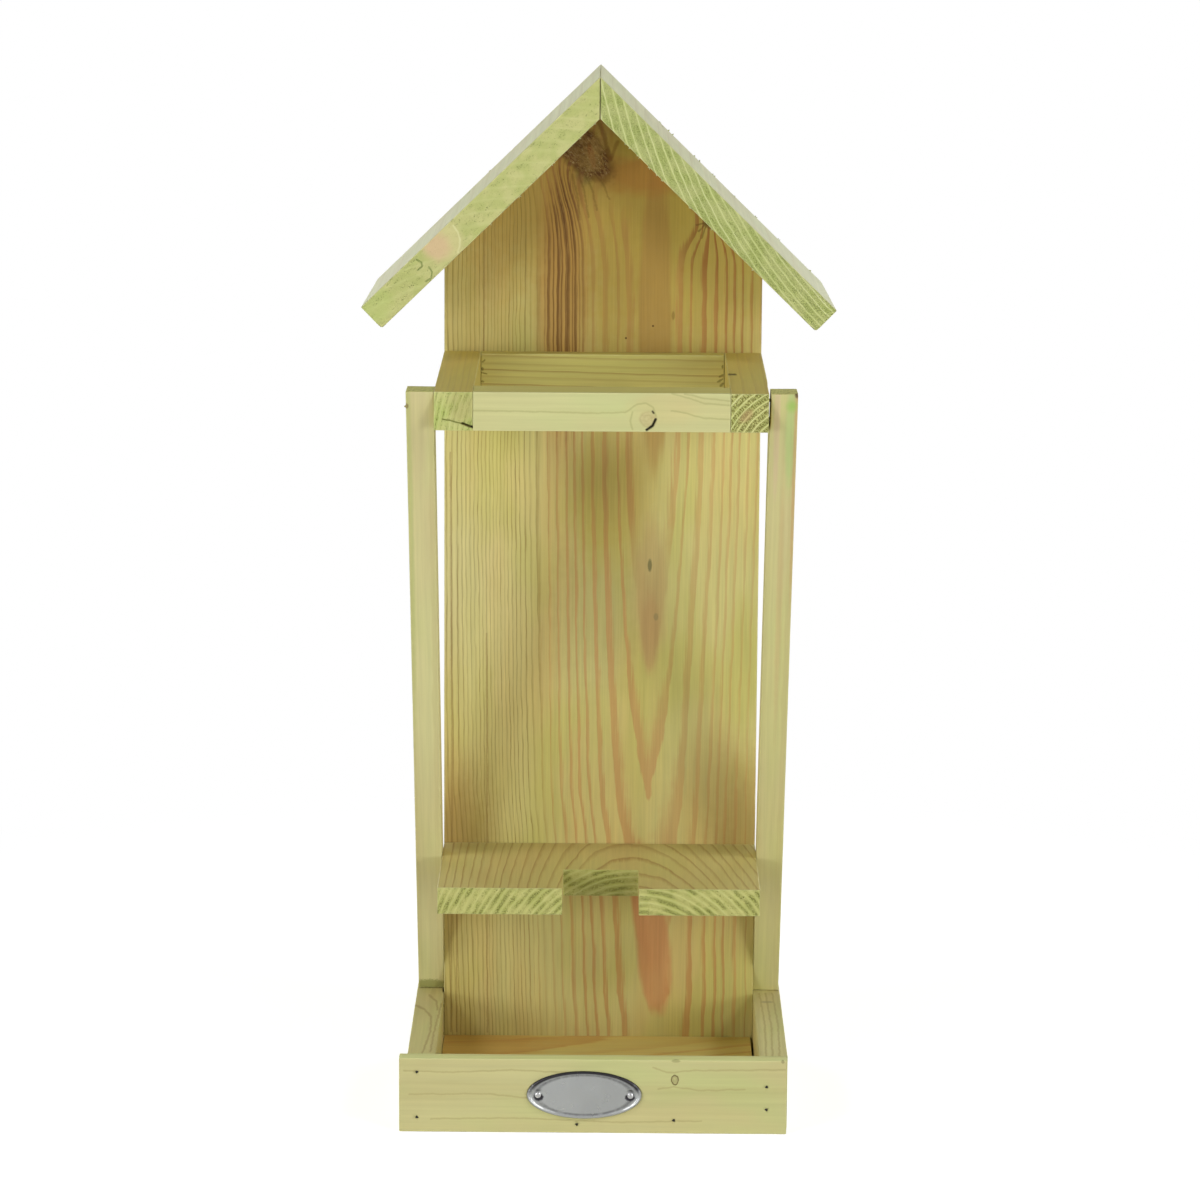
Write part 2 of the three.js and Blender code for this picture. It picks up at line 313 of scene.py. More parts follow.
knotShape = {"uneven": 0.4, "core": (0.9, 1.04), "rim": (0.75, 0.98, 1.0, 1.3)}  # in shares of a knot's size
# how far the pale arris colour reaches: painted highlight and saw-torn fibre
arrisHighlightAndWear = {"grain": (2.5, 2.5, 6), "uneven": 0.7, "reach": (0.2, 0.55)}
relief = {"late": 0.35, "streak": 0.3, "saw": 1.2, "line": 0.6, "fleck": 1.8, "depth": 0.00012}
sheen = {"late": -0.08, "streak": 0.1, "end": 0.18, "specular": 0.28}  # what changes the roughness


def spot(place, centre, size, tilt, soft, ragged, grain, axis):
    away = place.vector("SUBTRACT", centre)
    if tilt:
        away = away.node("ShaderNodeVectorRotate", {"rotation_type": "AXIS_ANGLE"}, {
            "Vector": away, "Axis": axis, "Angle": math.radians(tilt)})
    distance = away.vector("DIVIDE", size).vector("LENGTH", (0, 0, 0), 1)
    if ragged:
        distance = distance + (place.noise(grain, 2) - 0.5) * (2 * ragged)
    return 1 - distance.ease(1 - soft, 1 + soft)


def stroke(place, path, width, flat, ragged=0.3, sway=0.8):  # a thin line through the given points
    shift = place.noise(4, 1).other(1).vector("SUBTRACT", (0.5, 0.5, 0.5))
    shift = shift.vector("MULTIPLY", (sway, sway, sway))
    place = place.vector("ADD", shift).vector("MULTIPLY", flat)
    path = [point * flat for point in path]
    nearest = None
    for start, end in zip(path, path[1:]):
        along = end - start
        away = place.vector("SUBTRACT", start)
        share = away.vector("DOT_PRODUCT", along / along.length_squared, 1)
        share = share.node("ShaderNodeClamp", {}, {"Value": share})
        foot = share.node("ShaderNodeVectorMath", {"operation": "SCALE"}, {0: along, "Scale": share})
        distance = away.vector("SUBTRACT", foot).vector("LENGTH", (0, 0, 0), 1)
        nearest = distance.calc("MINIMUM", nearest) if nearest else distance
    nearest = nearest + (place.noise(0.9, 2) - 0.5) * (2 * ragged * width)
    return 1 - nearest.ease(width * 0.2, width)


def plateau(value, span):  # rises between the span's first two values and falls between its last two
    return value.ease(*span[:2]) * (1 - value.ease(*span[2:]))


def arrisMask(place, x, y, z, faces):  # near 1 along the edges where two faces meet
    gaps = []
    for value, pair in zip((x, y, z), faces):
        if pair:
            middle, half = (pair[0] + pair[1]) / 2, abs(pair[1] - pair[0]) / 2
            gaps.append(half - (value - middle).calc("ABSOLUTE"))
    nearest = None
    for first, second in itertools.combinations(gaps, 2):
        together = first + second
        nearest = together.calc("MINIMUM", nearest) if nearest else together
    nearest = nearest + (place.noise(arrisHighlightAndWear["grain"], 3) - 0.5) * arrisHighlightAndWear["uneven"]
    return 1 - nearest.ease(*arrisHighlightAndWear["reach"])


def pine(name, look):
    look = {**wood, **look}
    material, wire = newMaterial(name)
    turn = Euler([math.radians(angle) for angle in look["turn"]]).to_matrix()
    own = wire.node("ShaderNodeTexCoord", output="Object")
    origin = Vector(look["origin"])
    place = wire.node("ShaderNodeMapping", {"vector_type": "TEXTURE"}, {
        "Vector": own, "Location": origin * mm, "Rotation": turn.to_euler(), "Scale": (mm, mm, mm)})
    x = wire.node("ShaderNodeSeparateXYZ", sockets={0: place})
    y = x.other(1)
    z = x.other(2)

    def local(point):
        return turn.transposed() @ (Vector(point) - origin)

    axes = np.abs(np.array(turn.transposed()))
    ahead = turn.transposed() @ Vector((0, 1, 0))
    flat = Vector([1 - 0.75 * abs(value) for value in ahead])

    def covered(patch, **usual):  # where a patch or mark of colour lies
        given = {"tilt": 0, "soft": 0.4, "ragged": 0.25, "grain": 4, **usual, **patch}
        size = [given["size"][index] for index in axes.argmax(axis=1)]
        shape = [given[key] for key in ("tilt", "soft", "ragged", "grain")]
        return spot(place, local(given["at"]), size, *shape, ahead) * given["share"]

    def curve(points, value):  # straight from point to point
        reach, most = points[-1][0], max(height for along, height in points)
        stops = [(along / reach, height / most) for along, height in points]
        return wire.node("ShaderNodeValToRGB", {"stops": stops}, {0: value / reach}) * most

    # growth rings: the distance from a pith that leans and wanders, and bends round the knots
    pith = local(look["pith"])
    slow = place.noise(figure["slow"], 1)
    quick = place.noise(figure["quick"], 2)
    fine = place.noise(figure["fine"], 3, 0.6)
    across = x - z * look["lean"][0] + (slow - 0.5) * look["wander"]
    across = across - (curve(look["middle"], z) if "middle" in look else pith.x)
    within = y + curve(look["depth"], z) if "depth" in look else y - pith.y - z * look["lean"][1]
    knots = []
    for knot in look.get("knots", []):
        centre = local(knot["at"])
        tilt = math.radians(knot.get("tilt", 0))
        side = x - centre.x
        rise = z - centre.z
        wide = (side * math.cos(tilt) + rise * math.sin(tilt)) / knot["size"][0]
        tall = (rise * math.cos(tilt) - side * math.sin(tilt)) / knot["size"][1]
        apart = wide * wide + tall * tall
        push = knot["bend"] * knot["size"][0] * math.cos(tilt)
        across = across - wide * ((apart * -knot["fade"]).calc("EXPONENT") * push)
        knots.append((knot, wide, tall, apart))
    reach = (across * across + within * within) ** 0.5
    if "tip" in look:
        reach = reach - (across * across * (-0.5 / look["tip"][1] ** 2)).calc("EXPONENT") * look["tip"][0]
    ripple = place.noise(figure["ripple"], 2)
    reach = reach + (quick - 0.5) * (look["waver"] * 2) + (fine - 0.5) * (look["ragged"] * 2)
    reach = reach + (ripple - 0.5) * (look["ripple"] * 2)
    steep, bend, start = look["rings"]
    outer = reach.ease(*look["outer"])
    out, up = figure["seasons"]
    seasons = wire.node("ShaderNodeCombineXYZ", sockets={0: reach / out, 1: z / up}).noise(1, 1)
    count = curve(look["years"], reach) if "years" in look else reach * (reach * bend + steep) + start
    count = count + outer * ((seasons - 0.5) * look["seasons"])
    phase = count.calc("FRACT")
    chance = wire.node("ShaderNodeTexWhiteNoise", {"noise_dimensions": "1D"}, {"W": count.calc("FLOOR")})
    lined = [(patch, covered(patch)) for patch in look.get("linePatches", [])]
    lateFrom = outer * (look["lateStart"] - look["lateWide"]) + look["lateWide"]
    for patch, mask in lined:
        lateFrom = lateFrom - mask * patch.get("widen", 0)
    feather = place.noise(figure["feather"], 2)
    lateFull = outer * (ringShape["outerFull"] - look["lateFull"]) + look["lateFull"]
    late = (phase - chance * ringShape["jitter"] + (feather - 0.5) * look["feather"]).ease(lateFrom, lateFull)
    late = late * (1 - phase.ease(*ringShape["close"])) * (1 - outer * ((1 - chance) * look["faint"]))
    for patch, mask in lined:
        if "more" in patch:
            extra = (count * patch["more"]).calc("FRACT")
            extra = plateau(extra, ringShape["extra"])
            late = late.calc("MAXIMUM", extra * mask * ringShape["extraShare"])

    # colours along the grain
    cloud, haze, streak, band = (place.noise(figure[key], 2) for key in ("cloud", "haze", "streak", "band"))
    base = wire.mix(cloud.ease(0.35, 0.65), look["pale"], look["warm"])
    base = base.blend(haze.ease(0.42, 0.68) * look["greenShare"], look["green"])
    lateColour = wire.mix(reach.ease(*look["heartReach"]), look["heart"], look["sap"])
    for patch, mask in lined:
        lateColour = lateColour.blend(mask, patch["colour"])
        late = late * (mask * patch.get("deepen", 0) + 1)
    for patch in look.get("patches", []):
        base = base.blend(covered(patch), patch["colour"])
    face = base.blend(late * look["lateDepth"], lateColour)
    shade = (streak - 0.5) * (look["fibre"] * 2) + (band - 0.5) * 0.2 + 1
    grey = wire.node("ShaderNodeCombineColor", sockets={0: shade, 1: shade, 2: shade})
    face = face.blend(1.0, grey, "MULTIPLY")

    # sawn end grain: pale lines, with dark strokes of torn fibre between them
    axis = turn @ Vector((0, 0, 1))
    facing = own.other("Normal").vector("DOT_PRODUCT", axis, 1)
    end = facing.calc("ABSOLUTE").ease(0.6, 0.85)
    middle = local(look["endMiddle"])
    radius = math.hypot(middle.x - pith.x, middle.y - pith.y)
    angle = within.calc("ARCTAN2", across)
    polar = wire.node("ShaderNodeCombineXYZ", sockets={
        0: angle * (radius / look["dashSize"][0]), 1: reach / look["dashSize"][1], 2: z / 3})
    patchy = place.noise(7, 1).ease(0.4, 0.6) * look["patchy"] + (1 - look["patchy"])
    dash = polar.noise(1, 3, 0.6).ease(*look["dashFrom"]) * patchy
    early = plateau(phase, look["dashSpan"])
    line = plateau(phase, look["endLineSpan"]) * (chance * 0.5 + 0.5)
    saw = place.noise(0.5, 3, 0.6)
    tear = place.noise(look["tear"], 2)
    endFace = wire.mix(place.noise(7, 2).ease(0.38, 0.62), look["endPale"], look["endGreen"])
    endFace = endFace.blend(line * look["endLineShare"], look["endLine"])
    fleck = saw.ease(0.55, 0.7) * (1 - line) * tear.ease(0.42, 0.6) * look["flecks"]
    fleck = fleck.calc("MAXIMUM", dash * early * look["dashes"])
    endFace = endFace.blend(fleck, look["endFleck"])
    colour = face.blend(end, endFace)
    for patch in look.get("endPatches", []):
        colour = colour.blend(covered(patch, grain=3) * end, patch["colour"])
    faces = look["faces"] if "faces" in look else list(zip(*(local(corner) for corner in look["span"])))
    # pale along the arrises: painted highlight, together with saw-torn fibre
    colour = colour.blend(arrisMask(place, x, y, z, faces) * look["edgeShare"], look["edge"])

    # knots and marks
    height = late * relief["late"] + (streak - 0.5) * relief["streak"]
    height = height * (1 - end) + end * (saw * relief["saw"] + line * relief["line"] - fleck * relief["fleck"])
    for knot, wide, tall, apart in knots:
        fibres = wire.node("ShaderNodeCombineXYZ", sockets={
            0: wide * knot["size"][0], 1: y, 2: tall * knot["size"][1]})
        distance = apart ** 0.5 + (place.noise(knot.get("grain", 2), 3) - 0.5) * knotShape["uneven"]
        core = 1 - distance.ease(*knotShape["core"])
        whorl = (distance * knot.get("whorls", 9)).calc("SINE") * 0.5 + 0.5
        torn = fibres.noise(knot.get("torn", (0.8, 0.8, 3.6)), 3, 0.65)
        inside = wire.mix(whorl * 0.4 + torn.ease(0.38, 0.62) * 0.6, knot["dark"], knot["light"])
        speck = fibres.noise((0.5, 0.5, 0.9), 2).ease(0.6, 0.7)
        inside = inside.blend(speck * knot.get("specks", 0), knot.get("speck", look["edge"]))
        rim = plateau(distance, knotShape["rim"]) * knot.get("rim", 0.6)
        colour = colour.blend(rim, knot["dark"])
        colour = colour.blend(core * knot.get("share", 1), inside)
        height = height + core * (whorl * 0.5 + torn * knot.get("rough", 1))
    for mark in look.get("marks", []):
        colour = colour.blend(covered(mark, soft=0.3, ragged=0.15, grain=0.8), mark["colour"])
    for mark in look.get("strokes", []):
        path = [local(point) for point in mark["path"]]
        mask = stroke(place, path, mark["width"], flat, mark.get("ragged", 0.3), mark.get("sway", 0.8))
        colour = colour.blend(mask * mark["share"], mark["colour"])
        height = height - mask * mark.get("groove", 0)

    rough = late * sheen["late"] + streak * sheen["streak"] + (look["rough"] - 0.05) + end * sheen["end"]
    bump = wire.node("ShaderNodeBump", sockets={"Height": height, "Distance": relief["depth"], "Strength": 1.0})
    shader = wire.node("ShaderNodeBsdfPrincipled", sockets={
        "Base Color": colour, "Roughness": rough, "Normal": bump, "Specular IOR Level": sheen["specular"]})
    wire.node("ShaderNodeOutputMaterial", sockets={"Surface": shader})
    return material


# board meshes
def span(node):  # a node's lowest and highest corners
    low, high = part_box(node)
    return np.array(low) / mm, np.array(high) / mm


def smoothNoise(points, size, seed):  # -1 to 1, with bumps of the given size
    cell = points / size + seed * 7.31
    base = np.floor(cell)
    part = cell - base
    part = part * part * (3 - 2 * part)
    total = np.zeros(len(points))
    for corner in itertools.product((0, 1), repeat=3):
        wave = np.sin((base + corner) @ np.array((12.9898, 78.233, 37.719)) + seed) * 43758.5453
        weight = np.prod(np.where(corner, part, 1 - part), axis=1)
        total += (wave - np.floor(wave)) * weight
    return total * 2 - 1


def fade(value, low, high):
    share = np.clip((value - low) / (high - low), 0, 1)
    return share * share * (3 - 2 * share)


def gridLines(low, high, step, near=(), fixed=()):
    edge = (0, 0.13, 0.3, 0.52, 0.85, 1.4)
    places = [low + offset for offset in edge] + [high - offset for offset in edge] + list(fixed)
    for middle, reach, fine in near:
        places += list(np.arange(max(low, middle - reach), min(high, middle + reach), fine))
    places = sorted(place for place in places if low <= place <= high)
    keep = [low]
    firm = {low, high, *fixed}
    for place in places[1:]:
        if place - keep[-1] < 0.1:
            if place in firm:
                if keep[-1] not in firm:
                    keep[-1] = place
                elif place - keep[-1] > 1e-9:
                    keep.append(place)
            continue
        keep.append(place)
    lines = []
    for start, end in zip(keep, keep[1:]):
        parts = max(1, math.ceil((end - start) / step - 0.01))
        lines += [start + (end - start) * part / parts for part in range(parts)]
    return np.array(lines + [keep[-1]])


def shell(xs, ys, zs, filled):  # the outside faces of the filled cells, as corners and quads
    shape = (len(xs), len(ys), len(zs))
    padded = np.pad(filled, 1).astype(np.int8)
    quads = []
    for axis in range(3):
        change = np.diff(padded, axis=axis)
        inner = [slice(1, -1)] * 3
        inner[axis] = slice(None)
        change = change[tuple(inner)]
        others = [a for a in range(3) if a != axis]
        for sign in (1, -1):
            cells = np.argwhere(change == sign)
            ring = []
            for da, db in ((0, 0), (1, 0), (1, 1), (0, 1)):
                corner = cells.copy()
                corner[:, others[0]] += da
                corner[:, others[1]] += db
                ring.append(np.ravel_multi_index(corner.T, shape))
            ring = np.stack(ring, axis=1)
            outward = (sign < 0) == (axis != 1)
            quads.append(ring if outward else ring[:, ::-1])
    quads = np.concatenate(quads)
    used, index = np.unique(quads, return_inverse=True)
    ix, iy, iz = np.unravel_index(used, shape)
    return np.stack((xs[ix], ys[iy], zs[iz]), axis=1), index.reshape(quads.shape)


def facingOut(points, quads):  # a shape that mirrors the board turns its faces inside out
    a, b, c, d = (points[quads[:, corner]] for corner in range(4))
    volume = np.sum(a * (np.cross(b, c) + np.cross(c, d)))
    return quads if volume > 0 else quads[:, ::-1]


def easeEdges(points, low, high, radius):
    inner = np.clip(points, low + radius, high - radius)
    away = points - inner
    length = np.linalg.norm(away, axis=1, keepdims=True)
    return inner + away * radius / np.maximum(length, 1e-9)


def meshFrom(name, points, faces):
    mesh = bpy.data.meshes.new(name)
    mesh.from_pydata((points * mm).tolist(), [], faces.tolist() if hasattr(faces, "tolist") else faces)
    mesh.update()
    return mesh


def normalsOf(mesh):
    normals = np.zeros(len(mesh.vertices) * 3, dtype=np.float32)
    mesh.vertex_normals.foreach_get("vector", normals)
    return normals.reshape(-1, 3).astype(float)


def crackDepth(points, crack):
    depth = np.zeros(len(points))
    path = [np.array(point, float) for point in crack["path"]]
    for start, end in zip(path, path[1:]):
        line = end - start
        share = np.clip((points - start) @ line / (line @ line), 0, 1)
        away = np.linalg.norm(points - start - share[:, None] * line, axis=1)
        depth = np.maximum(depth, crack["depth"] * (1 - fade(away, crack["width"] * 0.3, crack["width"])))
    return depth


worn = {"depth": 0.04, "size": 9.0, "ends": (0.6, 0.9), "torn": ((0.3, 0.9), (0.2, 2.3))}


def wear(points, normals, board):  # how far each point of the surface sinks
    seed = board["seed"]
    depth = worn["depth"] * (1 + smoothNoise(points, worn["size"], seed)) / 2
    axis = np.array(board["axis"])
    ends = fade(np.abs(normals @ axis), *worn["ends"])
    torn = 0.5
    for step, (share, size) in enumerate(worn["torn"], 1):
        torn = torn + share * smoothNoise(points, size, seed + step)
    depth += ends * torn * board.get("endRough", 0.16)
    for hollow in board.get("hollows", []):
        away = np.linalg.norm((points - hollow["at"]) / hollow["size"], axis=1)
        away += 0.25 * smoothNoise(points, hollow["grain"], seed + 3)
        level = hollow["depth"] + hollow["rough"] * smoothNoise(points, hollow["grain"], seed + 4)
        depth += np.maximum(level, 0) * (1 - fade(away, hollow.get("core", 0.6), 1.05))
    for crack in board.get("cracks", []):
        depth = np.maximum(depth, crackDepth(points, crack))
    return depth


def nailPlace(node):  # the middle of a nail's head, and the way it was driven
    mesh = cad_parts[node].data
    points = np.array([vertex.co for vertex in mesh.vertices]) / mm
    tip = points[np.argmax(np.linalg.norm(points - points.mean(axis=0), axis=1))]
    way = tip - points.mean(axis=0)
    way /= np.linalg.norm(way)
    along = (points - tip) @ way
    head = points[along < along.min() + 0.02].mean(axis=0)
    way = (tip - head) / np.linalg.norm(tip - head)
    return head, way


def nailsOf(board):
    prefixes = board.get("nails", ())
    return [name for name in sorted(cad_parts) if any(name.startswith(prefix) for prefix in prefixes)]


def crossways(way, by=(0.3, 0.5, 0.81)):  # two directions at right angles to a third
    side = np.cross(way, by)
    side /= np.linalg.norm(side)
    return side, np.cross(way, side)


def turnsOf(sides):
    return [2 * math.pi * step / sides for step in range(sides)]


def addTube(points, faces, rings, tip=None):  # closed at both ends, the last one flat or drawn out to a tip
    first, sides = len(points), len(rings[0])
    points.extend(point for ring in rings for point in ring)
    for ring in range(len(rings) - 1):
        for step in range(sides):
            a = first + ring * sides + step
            b = first + ring * sides + (step + 1) % sides
            faces.append((a, b, b + sides, a + sides))
    last = len(points) - sides
    if tip is None:
        faces.append(tuple(range(last, last + sides)))
    else:
        faces.extend((last + step, last + (step + 1) % sides, last + sides) for step in range(sides))
        points.append(tip)
    faces.append(tuple(range(first + sides - 1, first - 1, -1)))


pit = {"sides": 11, "levels": ((-1.4, 0.95), (-0.62, 0.74), (-0.3, 0.6), (0.2, 0.56)), "lobes": (0.16, 0.1)}


def pitCutters(board):  # a ragged plug over each nail's head
    points, faces = [], []
    for count, name in enumerate(nailsOf(board)):
        head, way = nailPlace(name)
        side, above = crossways(way)
        outline = []
        for angle in turnsOf(pit["sides"]):
            ragged = (1 + pit["lobes"][0] * math.sin(3 * angle + count * 1.7 + board["seed"])
                      + pit["lobes"][1] * math.sin(5 * angle - count))
            outline.append((side * math.cos(angle) + above * math.sin(angle)) * ragged)
        addTube(points, faces, [[head + way * level + offset * radius for offset in outline]
                                for level, radius in pit["levels"]])
    return points, faces


fibre = {"sides": 5, "rings": 5, "root": 0.12, "taper": 0.75, "flat": 0.55, "by": (0.31, 0.77, 0.55)}


def splinter(points, faces, start, way, length, width, bend):  # a thin torn fibre, closed at both ends
    start = np.array(start, float)
    way = np.array(way, float) / np.linalg.norm(way)
    side, above = crossways(way, fibre["by"])
    rings = []
    for ring in range(fibre["rings"]):
        share = ring / fibre["rings"]
        middle = start + way * length * (share - fibre["root"]) + above * bend * share * share
        radius = width / 2 * (1 - fibre["taper"] * share)
        rings.append([middle + (side * math.cos(angle) + above * math.sin(angle) * fibre["flat"]) * radius
                      for angle in turnsOf(fibre["sides"])])
    addTube(points, faces, rings, start + way * length + above * bend)


def nailFuzz(board):  # fibres that each nail has torn up round its pit
    entries = []
    draw = np.random.default_rng(board["seed"])
    for name in nailsOf(board):
        head, way = nailPlace(name)
        if way[1] < -0.9:  # the rear stays flat
            continue
        side, above = crossways(way)
        for turn in draw.uniform(0, 2 * math.pi, 4):
            out = side * math.cos(turn) + above * math.sin(turn)
            start = head - way * 0.55 + out * 0.8
            lean = out * 0.8 - way * draw.uniform(0.1, 0.4)
            entries.append((start, lean, draw.uniform(0.35, 0.7), 0.22, 0.1))
    return entries


def plainBoard(node, name, slotName, seed, axis, step, **more):
    low, high = span(node)
    return {"node": node, "name": name, "slot": slotName, "seed": seed, "axis": axis,
            "low": low, "high": high, "step": step, **more}


def boardPoints(board):  # the board's outside, with eased edges, before wear
    low, high = board["low"], board["high"]
    near = board.get("near", ((), (), ()))
    fixed = board.get("fixed", ((), (), ()))
    xs, ys, zs = (gridLines(low[i], high[i], board["step"][i], near[i], fixed[i]) for i in range(3))
    filled = np.ones((len(xs) - 1, len(ys) - 1, len(zs) - 1), dtype=bool)
    if "notch" in board:
        left, right, back = board["notch"]
        inX = (xs[1:] > left + 1e-6) & (xs[1:] < right + 1e-6)
        inY = ys[1:] < back + 1e-6
        filled[np.ix_(inX, inY)] = False
    points, quads = shell(xs, ys, zs, filled)
    radius = board.get("arris", 0.35) * (1 + 0.45 * smoothNoise(points, 5.0, board["seed"] + 5))
    for chip in board.get("chips", []):
        away = np.linalg.norm((points - chip["at"]) / chip["size"], axis=1)
        radius += chip["radius"] * (1 - fade(away, 0.3, 1.0))
    lows, highs = np.tile(low, (len(points), 1)), np.tile(high, (len(points), 1))
    if "notch" in board:
        prongs = points[:, 1] < back - 1e-6
        inside = (points[:, 0] > left + 1e-6) & (points[:, 0] < right - 1e-6)
        highs[prongs & (points[:, 0] <= left + 1e-6), 0] = left
        lows[prongs & (points[:, 0] >= right - 1e-6), 0] = right
        lows[~prongs & inside, 1] = back
    points = easeEdges(points, lows, highs, radius[:, None])
    if "shape" in board:
        points = board["shape"](points)
    return points, facingOut(points, quads)


def drill(piece, points, faces):
    cutter = added("cutter", meshFrom("cutter", np.array(points), faces))
    cut = piece.modifiers.new("pits", "BOOLEAN")
    cut.operation = "DIFFERENCE"
    cut.solver = "MANIFOLD"
    cut.object = cutter
    bpy.context.view_layer.update()
    drilled = bpy.data.meshes.new_from_object(piece.evaluated_get(bpy.context.evaluated_depsgraph_get()))
    piece.modifiers.clear()
    piece.data = drilled
    bpy.data.objects.remove(cutter)


def addSplinters(piece, entries):
    extraPoints, extraFaces = [], []
    for entry in entries:
        splinter(extraPoints, extraFaces, *entry)
    mesh = piece.data
    old = np.zeros(len(mesh.vertices) * 3)
    mesh.vertices.foreach_get("co", old)
    count = len(mesh.vertices)
    polygons = [tuple(polygon.vertices) for polygon in mesh.polygons]
    polygons += [tuple(index + count for index in face) for face in extraFaces]
    piece.data = meshFrom(mesh.name, np.concatenate((old.reshape(-1, 3) / mm, np.array(extraPoints))), polygons)


def finishPiece(piece, node, material):
    piece.data.materials.clear()
    piece.data.materials.append(material)
    piece.data.polygons.foreach_set("use_smooth", [True] * len(piece.data.polygons))
    piece.data.update()
    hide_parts(node)
    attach(piece, "root")
    print(f"{piece.name}: {len(piece.data.vertices)} points")


def makeBoard(board, look):
    points, quads = boardPoints(board)
    mesh = meshFrom(board["name"], points, quads)
    normals = normalsOf(mesh)
    points = points - normals * wear(points, normals, board)[:, None]
    mesh.vertices.foreach_set("co", (points * mm).astype(np.float32).ravel())
    mesh.update()
    piece = added(board["name"], mesh)
    cutPoints, cutFaces = pitCutters(board)
    if cutPoints:
        drill(piece, cutPoints, cutFaces)
    entries = list(board.get("splinters", [])) + nailFuzz(board)
    if entries:
        addSplinters(piece, entries)
    finishPiece(piece, board["node"], pine(f"{board['name']}Pine", look))


# the ways to lay a look out: areas and thin lines of colour
def area(at, size, colour, share=1, **more):
    return {"at": at, "size": size, "colour": tint(*colour), "share": share, **more}


def line(path, width, colour, share=1, **more):
    return {"path": path, "width": width, "colour": tint(*colour), "share": share, **more}


def onFace(face, *places):  # points on a face that looks to the front
    return [(x, face, z) for x, z in places]


# back board
boardLow, boardHigh = span("back_board")
boardFace = boardLow[1]
roofLow, roofHigh = span("roof_board_right")
roofFace = roofLow[1]
roof = {"pitch": math.radians(44.2), "thick": 11, "skew": 4.3, "mitre": 0.03}
ridge = roofHigh[2]
slope = roofHigh[0] / math.cos(roof["pitch"])
speckBrown = (84, 56, 24)


def gable(points):  # the board's top follows the underside of the roof
    top = boardHigh[2]
    knee = top - boardHigh[0] * math.tan(roof["pitch"]) - 8
    eaves = top - np.abs(points[:, 0]) * math.tan(roof["pitch"])
    share = np.clip((points[:, 2] - knee) / (top - knee), 0, 1)
    points = points.copy()
    points[:, 2] = np.where(points[:, 2] > knee, knee + share * (eaves - knee), points[:, 2])
    return points


def onBoard(*places):
    return onFace(boardFace, *places)


def boardArea(x, z, wide, tall, colour, share=1, deep=30, **more):  # deep enough to show at the rear too
    return area((x, boardFace, z), (wide, deep, tall), colour, share, **more)


